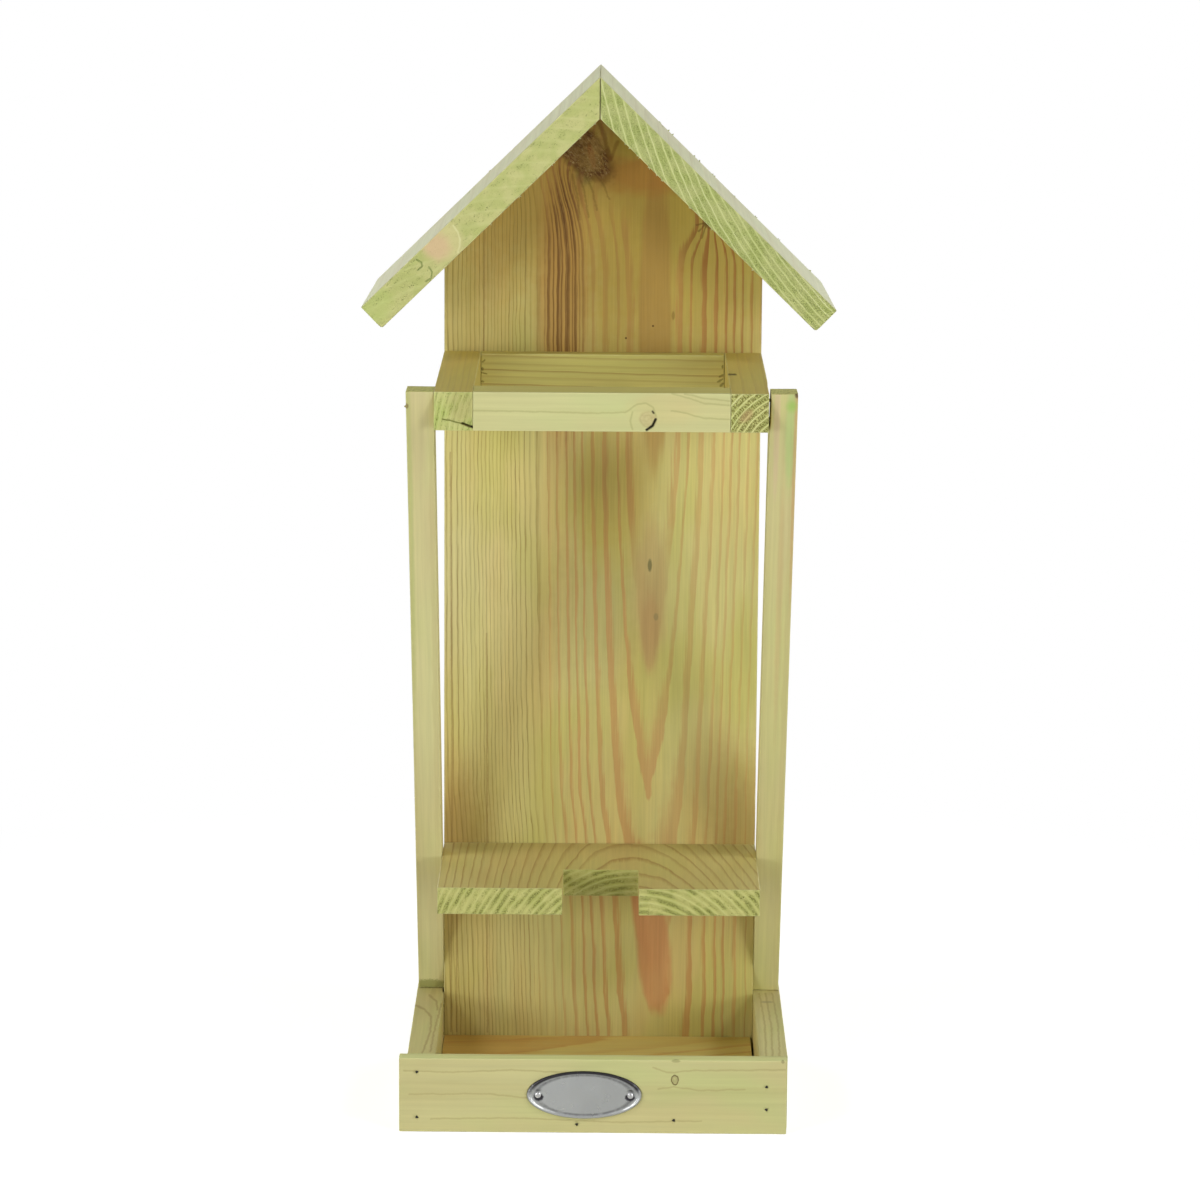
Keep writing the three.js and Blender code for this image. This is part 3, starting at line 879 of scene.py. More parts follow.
backBoard = plainBoard(
    "back_board", "backBoard", "pine_board", 1, (0, 0, 1), (2.6, 2.6, 3.2), shape=gable,
    near=(((-5, 12, 0.6), (42, 4, 0.7)), (), ((353, 15, 0.6), (328.6, 4, 0.7))), fixed=((0.0,), (), ()),
    hollows=[
        {"at": (-5, boardFace, 353), "size": (8.5, 4, 10.5), "depth": 0.2, "rough": 0.5, "grain": 1.1,
         "core": 0.8},
        {"at": (42, boardFace, 328.8), "size": (3, 3, 2.6), "depth": 0.2, "rough": 0.3, "grain": 0.9},
    ],
    nails=("arm_nail", "back_rail_nail", "shelf_nail", "floor_back_nail"))
backBoardLook = {
    "turn": grains["up"], "origin": (0, boardFace, 0),
    "faces": ((boardLow[0], boardHigh[0]), (0, boardHigh[1] - boardFace), None),
    "pith": (21, boardFace, 0), "endMiddle": (0, boardFace, 0),
    "middle": [(0, 24), (20, 23.5), (60, 22.5), (110, 20.3), (160, 20.3), (240, 20.7), (380, 21.3)],
    "depth": [(0, 20.9), (19, 20.6), (28, 19.6), (50, 19.5), (66, 19), (90, 17.6), (107, 15.6), (150, 13.1),
              (159, 12.4), (190, 10.5), (240, 6), (345, 5.6), (380, 9)],
    "years": [(0, 1), (5, 2), (12.4, 3), (15.4, 4), (20.5, 5), (24.7, 6), (28.2, 7), (34, 9), (44.5, 12),
              (50, 14.2), (69, 27.6), (84, 36)],
    "wander": 1.2, "waver": 0.42, "ragged": 0.26, "ripple": 0.5, "tip": (0.45, 1.6),
    "outer": (30, 46), "lateWide": 0.48, "lateStart": 0.5, "lateFull": 0.7, "seasons": 1.1, "feather": 0.55,
    "faint": 0.6,
    "pale": tint(202, 193, 124), "warm": tint(204, 184, 114), "green": tint(186, 181, 94),
    "heart": tint(184, 122, 72), "sap": tint(148, 120, 48), "heartReach": (38, 48),
    "lateDepth": 0.51, "greenShare": 0.6, "fibre": 0.14,
    "knots": [
        {"at": (-7.5, boardFace, 356.4), "size": (6.8, 14.6), "tilt": 44, "bend": 1.4, "fade": 0.22,
         "whorls": 5, "dark": tint(108, 70, 32), "light": tint(190, 152, 92), "rough": 2.5, "grain": 2.6,
         "specks": 0.6, "speck": tint(226, 204, 150), "torn": (0.8, 0.8, 2.6)},
        {"at": (42.2, boardFace, 328.6), "size": (3, 2.4), "bend": -1.3, "fade": 0.08, "whorls": 8,
         "dark": tint(112, 84, 34), "light": tint(160, 132, 62), "rough": 1.5, "grain": 1.5, "share": 0.9},
    ],
    "linePatches": [
        boardArea(-13.5, 300, 8, 52, (98, 58, 22), deep=40, deepen=0.7, soft=0.35, ragged=0.15, more=2.3),
        boardArea(12, 347, 15, 16, (176, 122, 58), deepen=-1.0, soft=0.5),
        boardArea(2, 300, 12, 40, (150, 116, 50), 0.5, deepen=-0.3, soft=0.5),
        boardArea(41, 320, 10, 13, (120, 88, 34), 0.8, deepen=0.3, soft=0.6),
        boardArea(48, 310, 14, 60, (158, 84, 38), 0.75, deepen=0.25),
        boardArea(19.8, 126, 9, 30, (188, 132, 86), 0.8, widen=0.3, deepen=0.15, soft=0.5),
        boardArea(28, 90, 7, 18, (188, 132, 86), 0.8, widen=0.3, soft=0.5),
        boardArea(46, 165, 22, 90, (180, 124, 74), 0.8, deepen=-0.35),
        boardArea(-42, 180, 21, 260, (140, 118, 58), 0.85, deepen=0.9, soft=0.15, ragged=0.1),
        boardArea(20.5, 188, 8, 36, (174, 142, 90), 0.9, deepen=-0.5, soft=0.3),
        boardArea(20, 40, 40, 46, (182, 118, 66), 0.85, deepen=0.15, soft=0.5),
        boardArea(22, 50, 8, 34, (204, 152, 98), 0.9, soft=0.3),
        boardArea(23.5, 12, 6, 10, (184, 120, 68), deepen=-1.0, soft=0.3),
    ],
    "patches": [
        # painted shadow across the middle, painted light at the left and painted shade at the lower right, kept
        # to the front face
        boardArea(0.8, 180, 17, 26, (90, 62, 12), 0.28, deep=9, soft=0.75),
        boardArea(-52, 186, 20, 38, (227, 214, 164), 0.3, deep=9, soft=0.8),
        boardArea(47, 111, 16, 16, (110, 84, 30), 0.2, deep=9, soft=0.8),
        # painted shade under the roof: a darker, warmer colour over the top of the board
        boardArea(-10, 352, 60, 52, (190, 152, 68), 0.75, deep=40, soft=0.6),
        boardArea(34, 318, 30, 48, (188, 164, 74), 0.7, deep=40, soft=0.6),
        boardArea(6, 304, 12, 30, (182, 156, 72), 0.6, deep=40, soft=0.6),
        boardArea(-14, 302, 8.5, 50, (184, 138, 68), 0.75, deep=40, soft=0.45, grain=(3, 3, 30)),
        # painted shade below the collar: a darker, more yellow colour where its shadow falls
        boardArea(5, 226, 15, 24, (194, 170, 78), 0.6, deep=40, soft=0.7),
        boardArea(21.2, 292, 6.2, 58, (176, 136, 70), 0.65, soft=0.16, ragged=0.18, grain=(2.5, 2.5, 24)),
        boardArea(17, 346, 17, 7, (184, 126, 58), 0.65, soft=0.5, ragged=0.3, grain=(6, 6, 3)),
        boardArea(23.2, 41, 6.6, 21, (202, 150, 96), 0.75, tilt=5, soft=0.16, ragged=0.2, grain=(4, 4, 12)),
        boardArea(20.4, 62, 6, 25, (198, 142, 88), 0.75, tilt=9, soft=0.16, ragged=0.2, grain=(4, 4, 12)),
        boardArea(18.4, 50, 2.6, 20, (176, 112, 60), 0.4, tilt=7, soft=0.5),
        boardArea(20.8, 187, 5.6, 27, (184, 146, 96), 0.45, soft=0.35, ragged=0.3, grain=(2.5, 2.5, 12)),
        boardArea(20.3, 171, 3.4, 15, (182, 142, 92), 0.5, soft=0.35, ragged=0.2, grain=(2.5, 2.5, 12)),
        # painted shade in the two lower corners above the shelf
        boardArea(-55, 92, 13, 26, (160, 126, 62), 0.6, soft=0.7),
        boardArea(60, 94, 12, 26, (166, 134, 68), 0.55, soft=0.7),
        boardArea(-6, 346.5, 3, 4, (120, 110, 66), 0.5, deep=9),
        boardArea(20, 358, 15, 6, (190, 170, 74), 0.6),
    ],
    "strokes": [
        line(onBoard((-0.5, 366), (1.6, 360), (3.6, 352)), 1.4, (124, 80, 34), 0.55),
        line(onBoard((6.5, 358.5), (4, 352)), 1.1, (136, 94, 42), 0.5),
        *(line(onBoard((40.6, 328.6), end), 0.5, (106, 82, 34), 0.6, sway=1.8)
          for end in ((36.4, 327.2), (37, 325), (38.4, 322.6))),
        *(line(onBoard(*ends), 0.6, (118, 88, 38), 0.42, ragged=0.9)
          for ends in (((-10.4, 346), (-8.4, 338), (-7.6, 329)), ((-8, 346), (-5.6, 339), (-4.4, 330)),
                       ((-5.4, 346), (-2.8, 340), (-1.2, 333)), ((-2, 347), (1.4, 342), (3.6, 337)))),
        *(line(onBoard(*ends), 0.55, (132, 98, 48), 0.4, sway=0.5)
          for ends in (((-55.8, 12), (-55.4, 120), (-56.2, 240)), ((-53.6, 12), (-53.4, 70)),
                       ((-41.6, 12), (-42, 110), (-42.2, 170)), ((-43.6, 262), (-43.4, 326)))),
    ],
    "marks": [
        boardArea(20, 197, 0.8, 2.4, (118, 112, 70), 0.85, deep=3),
        boardArea(22.5, 177, 0.9, 1.4, (140, 128, 84), 0.6, deep=3),
        boardArea(10.2, 284.3, 0.4, 0.4, speckBrown, 0.9, deep=3),
        boardArea(20.4, 289, 0.4, 0.4, speckBrown, 0.9, deep=3),
        boardArea(28, 293, 0.6, 1.6, (140, 112, 52), 0.6, deep=3),
        boardArea(-3.2, 353, 1.2, 4.5, (170, 92, 50), 0.5, deep=3, tilt=12),
        boardArea(-12.5, 359.5, 4.6, 7.5, (92, 58, 24), 0.5, deep=3, tilt=44, soft=0.6),
        boardArea(-5.6, 350.5, 3, 3.6, (142, 114, 62), 0.4, deep=3, tilt=44, soft=0.7),
        boardArea(-1.4, 355, 2.6, 9, (204, 168, 104), 0.42, deep=3, tilt=-18, ragged=1.5, grain=0.5),
    ],
}
makeBoard(backBoard, backBoardLook)


# roof
def roofShape(side):
    def shape(points):  # along the slope, front to back, and in from the outer face
        along, y, inward = points.T
        deep = (y - roofFace) / (roofHigh[1] - roofFace)
        start = roof["mitre"] / 2 / math.cos(roof["pitch"]) + inward * math.tan(roof["pitch"])
        end = slope - roof["skew"] * deep
        place = start + (end - start) * along / slope
        x = place * math.cos(roof["pitch"]) - inward * math.sin(roof["pitch"])
        z = ridge - place * math.sin(roof["pitch"]) - inward * math.cos(roof["pitch"])
        return np.stack((side * x, y, z), axis=1)
    return shape


def onRoof(side, down, inward, front=roofFace):  # a point of a roof board's front end
    x = down * math.cos(roof["pitch"]) - inward * math.sin(roof["pitch"])
    z = ridge - down * math.sin(roof["pitch"]) - inward * math.cos(roof["pitch"])
    return (side * x, front, z)


def roofFuzz(side, places, inward, y, seed):  # torn fibres that stand off an edge of the roof
    draw = np.random.default_rng(seed)
    out = -1 if inward < 5 else 1
    entries = []
    for down in places:
        for spread in draw.uniform(-0.5, 0.5, 2):
            start = onRoof(side, down + spread, inward + 0.3 * -out, y)
            tip = onRoof(side, down + spread + draw.uniform(-0.9, 1.1), inward + out, y - 0.8)
            way = np.array(tip) - np.array(start)
            length, width, bend = (draw.uniform(*reach) for reach in ((0.7, 1.2), (0.7, 1.2), (-0.2, 0.2)))
            entries.append((start, way, length, width, bend))
    return entries


def onRoofEnd(*places):
    return onFace(roofFace, *places)


mitreLine = line(onRoofEnd((0, ridge - 1), (0, ridge - 15.2)), 0.44, (98, 92, 50), 0.8, sway=0.05, ragged=0.15)
roofFibres = {  # how far down the slope torn fibres stand off the lower and the upper edge
    "left": ((13.5, 21, 34.5, 52, 66), (58,)),
    "right": ((24, 26, 30.4, 36.4, 39.5, 42.8, 57, 68, 90), (31, 35.5, 37.6, 49.4, 52.2, 60, 71, 83, 95, 112)),
}
roofEnds = {
    "left": {
        "pith": (-20, roofFace, 190), "rings": (0.24, 0.0, 0.3), "flecks": 0.85, "dashes": 0.12,
        "endLineShare": 0.16, "endPale": tint(198, 198, 132), "endGreen": tint(186, 191, 119),
        "endPatches": [
            area((-57.6, roofFace, 325), (7.4, 8, 7.6), (210, 202, 144), 0.75, soft=0.3, ragged=0.12),
            area((-60, roofFace, 323.6), (4.6, 8, 5.2), (216, 184, 146), 0.75, soft=0.5, ragged=0.2),
            area((-84, roofFace, 301), (8, 8, 7), (184, 199, 116), 0.5),
        ],
        "strokes": [
            line(onRoofEnd((-67.2, 318.6), (-65.4, 317.6), (-65.2, 316), (-66.6, 314.8)), 0.45,
                 (130, 146, 78), 0.8, groove=2),
            line(onRoofEnd((-62.8, 315.6), (-61.4, 314), (-61.8, 311.8), (-63.6, 310.6)), 0.45,
                 (136, 152, 82), 0.8, groove=2),
            line(onRoofEnd((-78, 309), (-75.6, 312.6)), 0.4, (156, 166, 96), 0.6, groove=1),
            line(onRoofEnd((-53.8, 331.2), (-52, 328.8), (-51.2, 326), (-51.4, 323.2), (-52, 321.4)), 0.55,
                 (224, 222, 168), 0.6, sway=0.3),
            mitreLine,
        ],
    },
    "right": {
        "pith": (219, roofFace, 431), "rings": (1.238, -0.0021, 0.1), "flecks": 0.9, "dashes": 0.7,
        "dashSize": (0.28, 0.55), "dashSpan": (0, 0.1, 0.62, 0.8), "patchy": 0.35,
        "endLineShare": 0.75, "endLineSpan": (0.77, 0.87, 0.9, 0.97), "endLine": tint(220, 223, 170),
        "endPale": tint(190, 196, 126), "endGreen": tint(180, 190, 112), "strokes": [mitreLine],
    },
}
for side, hand in ((-1, "left"), (1, "right")):
    lower, upper = roofFibres[hand]
    roofBoard = {
        "node": f"roof_board_{hand}", "name": f"roofBoard{hand.title()}", "slot": "pine_end_grain",
        "seed": 11 + side, "axis": (0, 1, 0), "low": (0, roofFace, 0),
        "high": (slope, roofHigh[1], roof["thick"]), "step": (0.95, 3.2, 0.8), "arris": 0.3,
        "shape": roofShape(side), "nails": (f"roof_nail_{hand}",), "endRough": 0.22,
        "chips": [{"at": (slope, (roofFace + roofHigh[1]) / 2, roof["thick"]), "size": (3, 60, 3),
                   "radius": 0.9}],
        "splinters": (roofFuzz(side, lower, roof["thick"], roofFace + 0.4, 3)
                      + roofFuzz(side, upper, 0, roofHigh[1] - 0.9, 4)),
    }
    makeBoard(roofBoard, {
        "turn": (-90, side * math.degrees(roof["pitch"]), 0), "origin": (0, roofFace, ridge),
        "endMiddle": onRoof(side, 60, 5),
        "faces": (sorted((0, side * slope)), (0, roof["thick"]), (0, roofHigh[1] - roofFace)),
        "lateDepth": 0.3, "greenShare": 0.3, "pale": tint(214, 216, 176), "warm": tint(211, 209, 170),
        "green": tint(198, 206, 156), "edgeShare": 0.6, "tear": (16, 1.7, 4), "endFleck": tint(118, 130, 62),
        **roofEnds[hand],
    })


# collar
def straightLook(board, grain, late, **more):  # late wood of one colour all through
    origins = {"deep": (board["low"][0], board["low"][1], board["high"][2]), "across": board["low"]}
    return {"turn": grains[grain], "origin": origins[grain], "span": (board["low"], board["high"]),
            "endMiddle": (board["low"] + board["high"]) / 2, "heart": late, "sap": late, **more}


armLow, armHigh = span("collar_arm_right")
armFace = armLow[1]
armCrack = onFace(armFace, (-44.4, 266.3), (-46.4, 266.9), (-48.2, 267.6))
gap = {"width": 0.34, "reach": 3.0, "above": (263, 267.5), "front": (-45, -30)}


def shaveArm(points):  # the right arm stands a little off its strut
    points = points.copy()
    inner = fade(points[:, 0], armHigh[0] - gap["reach"], armHigh[0])
    front = 1 - fade(points[:, 1], *gap["front"])
    points[:, 0] -= gap["width"] * inner * fade(points[:, 2], *gap["above"]) * front
    return points


armShapes = {
    "left": {"cracks": [{"path": armCrack, "depth": 1.4, "width": 0.45}],
             "near": (((-47.5, 3.4, 0.3),), (), ((267.2, 1.8, 0.22),))},
    "right": {"shape": shaveArm},
}
armLooks = {
    "left": {
        "pith": (-2, armFace, 259), "rings": (0.5, 0.0, 0), "flecks": 0.9, "tear": (3.5, 3.5, 4),
        "dashes": 0.72, "dashSize": (0.9, 0.3), "dashFrom": (0.49, 0.6), "dashSpan": (0.02, 0.2, 0.25, 0.5),
        "patchy": 0.4, "endLineShare": 0.3, "endPale": tint(196, 198, 124), "endGreen": tint(180, 192, 106),
        "endFleck": tint(108, 114, 46),
        "strokes": [
            line(armCrack, 0.66, (26, 20, 6), ragged=0.2, sway=0.3),
            line(onFace(armFace, (-48.2, 267.6), (-55.4, 269.1)), 0.4, (112, 120, 48), 0.8, groove=2),
        ],
        "endPatches": [area((-48, armFace, 274), (5, 6, 6), (176, 166, 106), 0.5)],
    },
    "right": {
        "pith": (75.5, armFace, 251), "rings": (0.43, 0.0, 0.2), "flecks": 0.6,
        "dashes": 1.0, "dashSize": (0.36, 1.0), "dashFrom": (0.44, 0.58), "dashSpan": (0, 0.1, 0.65, 0.85),
        "endLineShare": 0.85, "endLineSpan": (0.77, 0.87, 0.9, 0.97), "endPale": tint(204, 203, 126),
        "endGreen": tint(192, 196, 114), "endFleck": tint(130, 126, 60),
        "strokes": [line([(48.1, -14, 279), (50, -14, 279)], 0.95, (74, 66, 28), 0.95, groove=3)],
        "endPatches": [area((53, armFace, 271), (1.6, 6, 3), (196, 164, 112), 0.6, tilt=-45)],
    },
}
for hand in ("left", "right"):
    arm = plainBoard(f"collar_arm_{hand}", f"collarArm{hand.title()}", "pine_end_grain", 22, (0, 1, 0),
                     (0.7, 3.2, 0.7), arris=0.22, **armShapes[hand])
    makeBoard(arm, straightLook(
        arm, "deep", lateDepth=0.3, pale=tint(198, 182, 98), warm=tint(194, 172, 90), green=tint(188, 180, 92),
        late=tint(158, 122, 54), **armLooks[hand]))

frontRail = plainBoard("collar_front_rail", "collarFrontRail", "pine_batten", 25, (1, 0, 0), (1.6, 1.8, 1.2),
                       arris=0.2)
railFace = frontRail["low"][1]
railCrescent = onFace(railFace, (20.0, 271.5), (20.7, 269.6), (19.6, 267.2), (17.6, 265.8))
frontRail["near"] = (((18.6, 3.6, 0.25),), (), ((268.6, 3.4, 0.25),))
frontRail["cracks"] = [{"path": railCrescent[1:], "depth": 0.9, "width": 0.42}]
frontRailLook = straightLook(
    frontRail, "across", pith=(0, 60, 230), rings=(0.16, 0.0, 0.2), lateDepth=0.2,
    late=tint(184, 180, 120), pale=tint(202, 200, 142), warm=tint(202, 196, 138),
    green=tint(194, 203, 138), greenShare=0.8, fibre=0.05,
    knots=[{"at": (18, railFace, 269.6), "size": (2.6, 2.8), "bend": 0.85, "fade": 0.3, "rough": 0.6,
            "dark": tint(176, 160, 108), "light": tint(202, 190, 138), "share": 0.6, "rim": 0.35}],
    patches=[area((24, railFace, 274), (12, 9, 6), (206, 192, 134), 0.5)],
    strokes=[
        *(line(onFace(railFace, *path), 0.5, (166, 164, 104), 0.5) for path in (
            ((-44.5, 272.3), (-27, 272.1), (1, 271.7), (9.8, 272.1), (12.2, 273.6), (14.4, 275.1),
             (17.2, 275.5), (19.7, 274), (20.8, 271)),
            ((26.4, 279), (32, 277.4), (38.2, 275.4), (47, 274.8)),
            ((31, 278.9), (38.6, 277.2), (47, 276.4)),
            ((26.5, 272.7), (31.1, 272), (37.7, 270.1), (47, 269.8)),
            ((12.4, 272), (11.6, 269), (12.4, 266)))),
        line(railCrescent[1:], 0.76, (20, 14, 8), ragged=0.15, sway=0.2),
        line(onFace(railFace, (19.6, 272.4), (20, 271.9)), 0.6, (44, 34, 18), 0.9, sway=0.2),
    ],
    # painted shade: the top face darker and more olive than the front
    marks=[area((1.5, -52, 279.3), (400, 10.2, 1.3), (204, 194, 110), 0.8, soft=0.1, ragged=0.03)])
makeBoard(frontRail, frontRailLook)

backRail = plainBoard("collar_back_rail", "collarBackRail", "pine_board", 26, (1, 0, 0), (1.8, 1.4, 1.2))
backFace = backRail["low"][1]
backRailLook = straightLook(
    backRail, "across", pith=(0, 56, 228), lean=(0.02, 0), rings=(0.4, 0.0, 0.2), lateDepth=0.75,
    late=tint(150, 112, 58), pale=tint(200, 190, 108), warm=tint(196, 180, 100), green=tint(188, 186, 96),
    marks=[
        area((x, backFace, z), (wide, 2, tall), (104, 92, 38), 0.65, tilt=tilt, ragged=0.7)
        for x, z, wide, tall, tilt in (
            (-43.4, 276.2, 0.9, 0.35, 40), (-43.9, 273.2, 0.5, 0.7, 0), (-43.2, 271.6, 1.3, 0.3, -12),
            (-43.9, 268.4, 0.7, 0.4, -10), (46.2, 271.2, 1.0, 0.4, 30), (45.8, 269.4, 1.4, 0.4, 30),
            (46.4, 267.8, 1.0, 0.5, 45), (46.7, 274.6, 0.4, 0.7, 0))
    ])
makeBoard(backRail, backRailLook)


# struts
strutLow, strutHigh = span("strut_left")
rightLow, rightHigh = span("strut_right")
strutFoot = 14.3
strutLean = (strutHigh[1] - strutLow[1] - strutFoot) / (strutHigh[2] - strutLow[2])


def leanBack(points):
    points = points.copy()
    points[:, 1] += (strutHigh[2] - points[:, 2]) * strutLean
    return points


def shaveStrut(points):  # the right strut's top stands a little off the arm
    points = leanBack(points)
    inner = 1 - fade(points[:, 0], rightLow[0], rightLow[0] + gap["reach"])
    points[:, 0] += gap["width"] * inner * fade(points[:, 2], *gap["above"])
    return points


def footFuzz(low, seed):  # the saw left its fibres on the foot's front edge
    draw = np.random.default_rng(seed)
    front = low[1] + (strutHigh[2] - low[2]) * strutLean
    entries = []
    for x in draw.uniform(low[0] + 0.4, low[0] + 9.6, 16):
        rise = draw.uniform(0.1, 1.1)
        way = (draw.uniform(-0.5, 0.5), -1, draw.uniform(-0.9, 0.5))
        entries.append(((x, front - rise * strutLean + 0.1, low[2] + rise), way, draw.uniform(0.5, 1.3),
                        draw.uniform(0.25, 0.45), draw.uniform(-0.2, 0.2)))
    return entries


strutShapes = {
    "left": {"seed": 30, "shape": leanBack,
             "splinters": footFuzz(strutLow, 5) + [((-68.2, -60.4, 273.3), (-1, -0.3, 0.1), 1.0, 1.9, 0.1)]},
    "right": {"seed": 32, "shape": shaveStrut,
              "chips": [{"at": (rightHigh[0], rightLow[1], rightHigh[2]), "size": (2.2, 2.2, 3),
                         "radius": 1.3}]},
}
strutLooks = {
    "left": {
        "pale": tint(217, 212, 152),
        "patches": [area((-68.3, -40, 225), (1.6, 20, 90), (190, 196, 122), 0.6),
                    area((-64, -60, 272), (3, 20, 30), (206, 190, 142), 0.4)],
        "marks": [area((-68.4, -60.6, 273.3), (0.9, 3, 1.1), (150, 136, 84), 0.9),
                  area((-64, 47.5, 30), (7, 8, 2.2), (130, 132, 58), 0.7, ragged=0.5)],
    },
    "right": {
        "pale": tint(208, 204, 136),
        "patches": [area((64.2, -60, 268), (1.1, 20, 30), (212, 188, 150), 0.6),
                    area((69.2, -60, 262), (1.9, 20, 22), (184, 204, 130), 0.7),
                    area((71.2, -50, 240), (0.9, 20, 50), (206, 166, 112), 0.7),
                    area((67, -40, 190), (1.2, 30, 60), (204, 178, 124), 0.5)],
        "marks": [area((69.4, -61.5, 274), (1.7, 4, 2.1), (158, 198, 88), 0.7, soft=0.9),
                  area((71.4, -62.6, 278.6), (1.1, 2.5, 1.5), (98, 78, 44), 0.9)],
    },
}
for hand in ("left", "right"):
    low, high = span(f"strut_{hand}")
    strut = {
        "node": f"strut_{hand}", "name": f"strut{hand.title()}", "slot": "pine_batten", "axis": (0, 0, 1),
        "low": low, "high": (high[0], low[1] + strutFoot, high[2]), "step": (1.1, 1.5, 2.6),
        "nails": (f"strut_top_nail_{hand}", f"strut_foot_nail_{hand}"), **strutShapes[hand],
    }
    tilt = math.atan(strutLean)
    makeBoard(strut, {
        "turn": (math.degrees(tilt), 0, 0), "origin": (low[0], low[1], high[2]),
        "faces": ((0, 10), (0, strutFoot * math.cos(tilt)), None),
        "pith": (low[0] + 24, low[1] + 75, high[2] + 33), "endMiddle": (low[0] + 5, low[1] + 6, high[2]),
        "rings": (0.5, 0.0, 0.2), "wander": 0.8, "waver": 0.15, "ripple": 0.12, "fibre": 0.08,
        "lateDepth": 0.42, "greenShare": 0.5, "heart": tint(180, 162, 104), "sap": tint(180, 162, 104),
        "warm": tint(211, 199, 144), "green": tint(200, 205, 134), "endPale": tint(216, 212, 128),
        "endGreen": tint(206, 206, 118), **strutLooks[hand],
    })


# bottle shelf
notch = {"left": -12.0, "right": 16.4, "back": 1.95}
notchLeft, notchRight, notchBack = notch.values()
shelf = plainBoard("bottle_shelf", "bottleShelf", "pine_end_grain", 41, (0, 1, 0), (0.95, 3.0, 0.8),
                   notch=(notchLeft, notchRight, notchBack), fixed=((notchLeft, notchRight), (notchBack,), ()),
                   near=(((notchLeft, 0.9, 0.3), (notchRight, 0.9, 0.3)), ((notchBack, 0.9, 0.3),), ()),
                   endRough=0.26)
shelfLook = straightLook(
    shelf, "deep", pith=(16, shelf["low"][1], 48.5), lean=(-0.05, 0.11), rings=(0.4, 0.0, 0.1), lateDepth=0.8,
    waver=0.45, wander=1.6, faint=0.5, lateWide=0.55, lateStart=0.55, late=tint(150, 112, 56),
    pale=tint(200, 188, 120), warm=tint(196, 178, 112), green=tint(190, 184, 108),
    endPale=tint(194, 192, 117), endGreen=tint(180, 182, 102), endLineShare=0.22, dashes=0.75, flecks=0.95,
    dashSize=(0.26, 0.5), dashFrom=(0.46, 0.57), dashSpan=(0.02, 0.2, 0.4, 0.7), patchy=0.7,
    endFleck=tint(108, 110, 46),
    # painted shade: darker olive on the notch's back wall
    endPatches=[area((2, notchBack, 83), (17, 2.4, 10), (138, 130, 50), 0.32)])
makeBoard(shelf, shelfLook)


# seed tray
trayFloor = plainBoard("tray_floor", "trayFloor", "pine_tray", 51, (1, 0, 0), (3.2, 3.2, 2.2))
makeBoard(trayFloor, straightLook(
    trayFloor, "across", pith=(-30, 20, -14), lean=(0.05, 0.35), rings=(0.14, 0.0, 0), lateDepth=0.8,
    wander=5, waver=1.0, pale=tint(216, 196, 118), warm=tint(212, 186, 106), green=tint(208, 198, 116),
    late=tint(196, 146, 78),
    patches=[area((-48, 20, 10.8), (26, 60, 22), (206, 162, 86), 0.6, soft=0.25)]))

sideLow, sideHigh = span("tray_side_left")
sideTop = sideHigh[2]
sideGap = {"width": 0.55, "reach": 3, "along": (boardFace - 1.5, boardFace - 0.6)}


def shaveSide(points):  # the left side stands off the back board's edge
    points = points.copy()
    near = fade(points[:, 0], sideHigh[0] - sideGap["reach"], sideHigh[0])
    points[:, 0] -= sideGap["width"] * near * fade(points[:, 1], *sideGap["along"])
    return points


sideShapes = {
    "left": {"shape": shaveSide, "near": ((), ((boardFace, 2.4, 0.4),), ())},
    "right": {},
}
sideLooks = {
    "left": {
        "pale": tint(202, 196, 130),
        "strokes": [line([(x, y, sideTop) for x, y in path], 0.6, (160, 138, 84), 0.6) for path in (
            ((-58.9, 26.2), (-59.2, 16), (-60.2, -14), (-60.5, -38.3)),
            ((-68.5, 23.3), (-65.2, 18.5), (-62, 8.3), (-61.6, -12), (-63.4, -40)),
            ((-64, 38), (-61, 30), (-60, 18)))],
    },
    "right": {
        "pale": tint(212, 208, 145),
        "strokes": [line([(x, -42, sideTop), (x + 0.8, 0, sideTop), (x, 44, sideTop)], 0.6, (166, 150, 92), 0.5)
                    for x in (64, 66.4, 69)],
        "marks": [area((66.5, 32, sideTop), (2.4, 1.6, 2), (160, 150, 108), 0.6)],
    },
}
for side, hand in ((-1, "left"), (1, "right")):
    traySide = plainBoard(f"tray_side_{hand}", f"traySide{hand.title()}", "pine_tray", 55 + side, (0, 1, 0),
                          (1.4, 3.2, 2.0), nails=(f"floor_side_nail_{hand}", f"board_side_nail_{hand}"),
                          **sideShapes[hand])
    makeBoard(traySide, straightLook(
        traySide, "deep", pith=(side * 48, 0, -30), rings=(0.3, 0.0, 0), lateDepth=0.3, waver=0.8, wander=4,
        warm=tint(202, 188, 128), green=tint(196, 198, 124), greenShare=0.7, late=tint(172, 154, 96),
        **sideLooks[hand]))

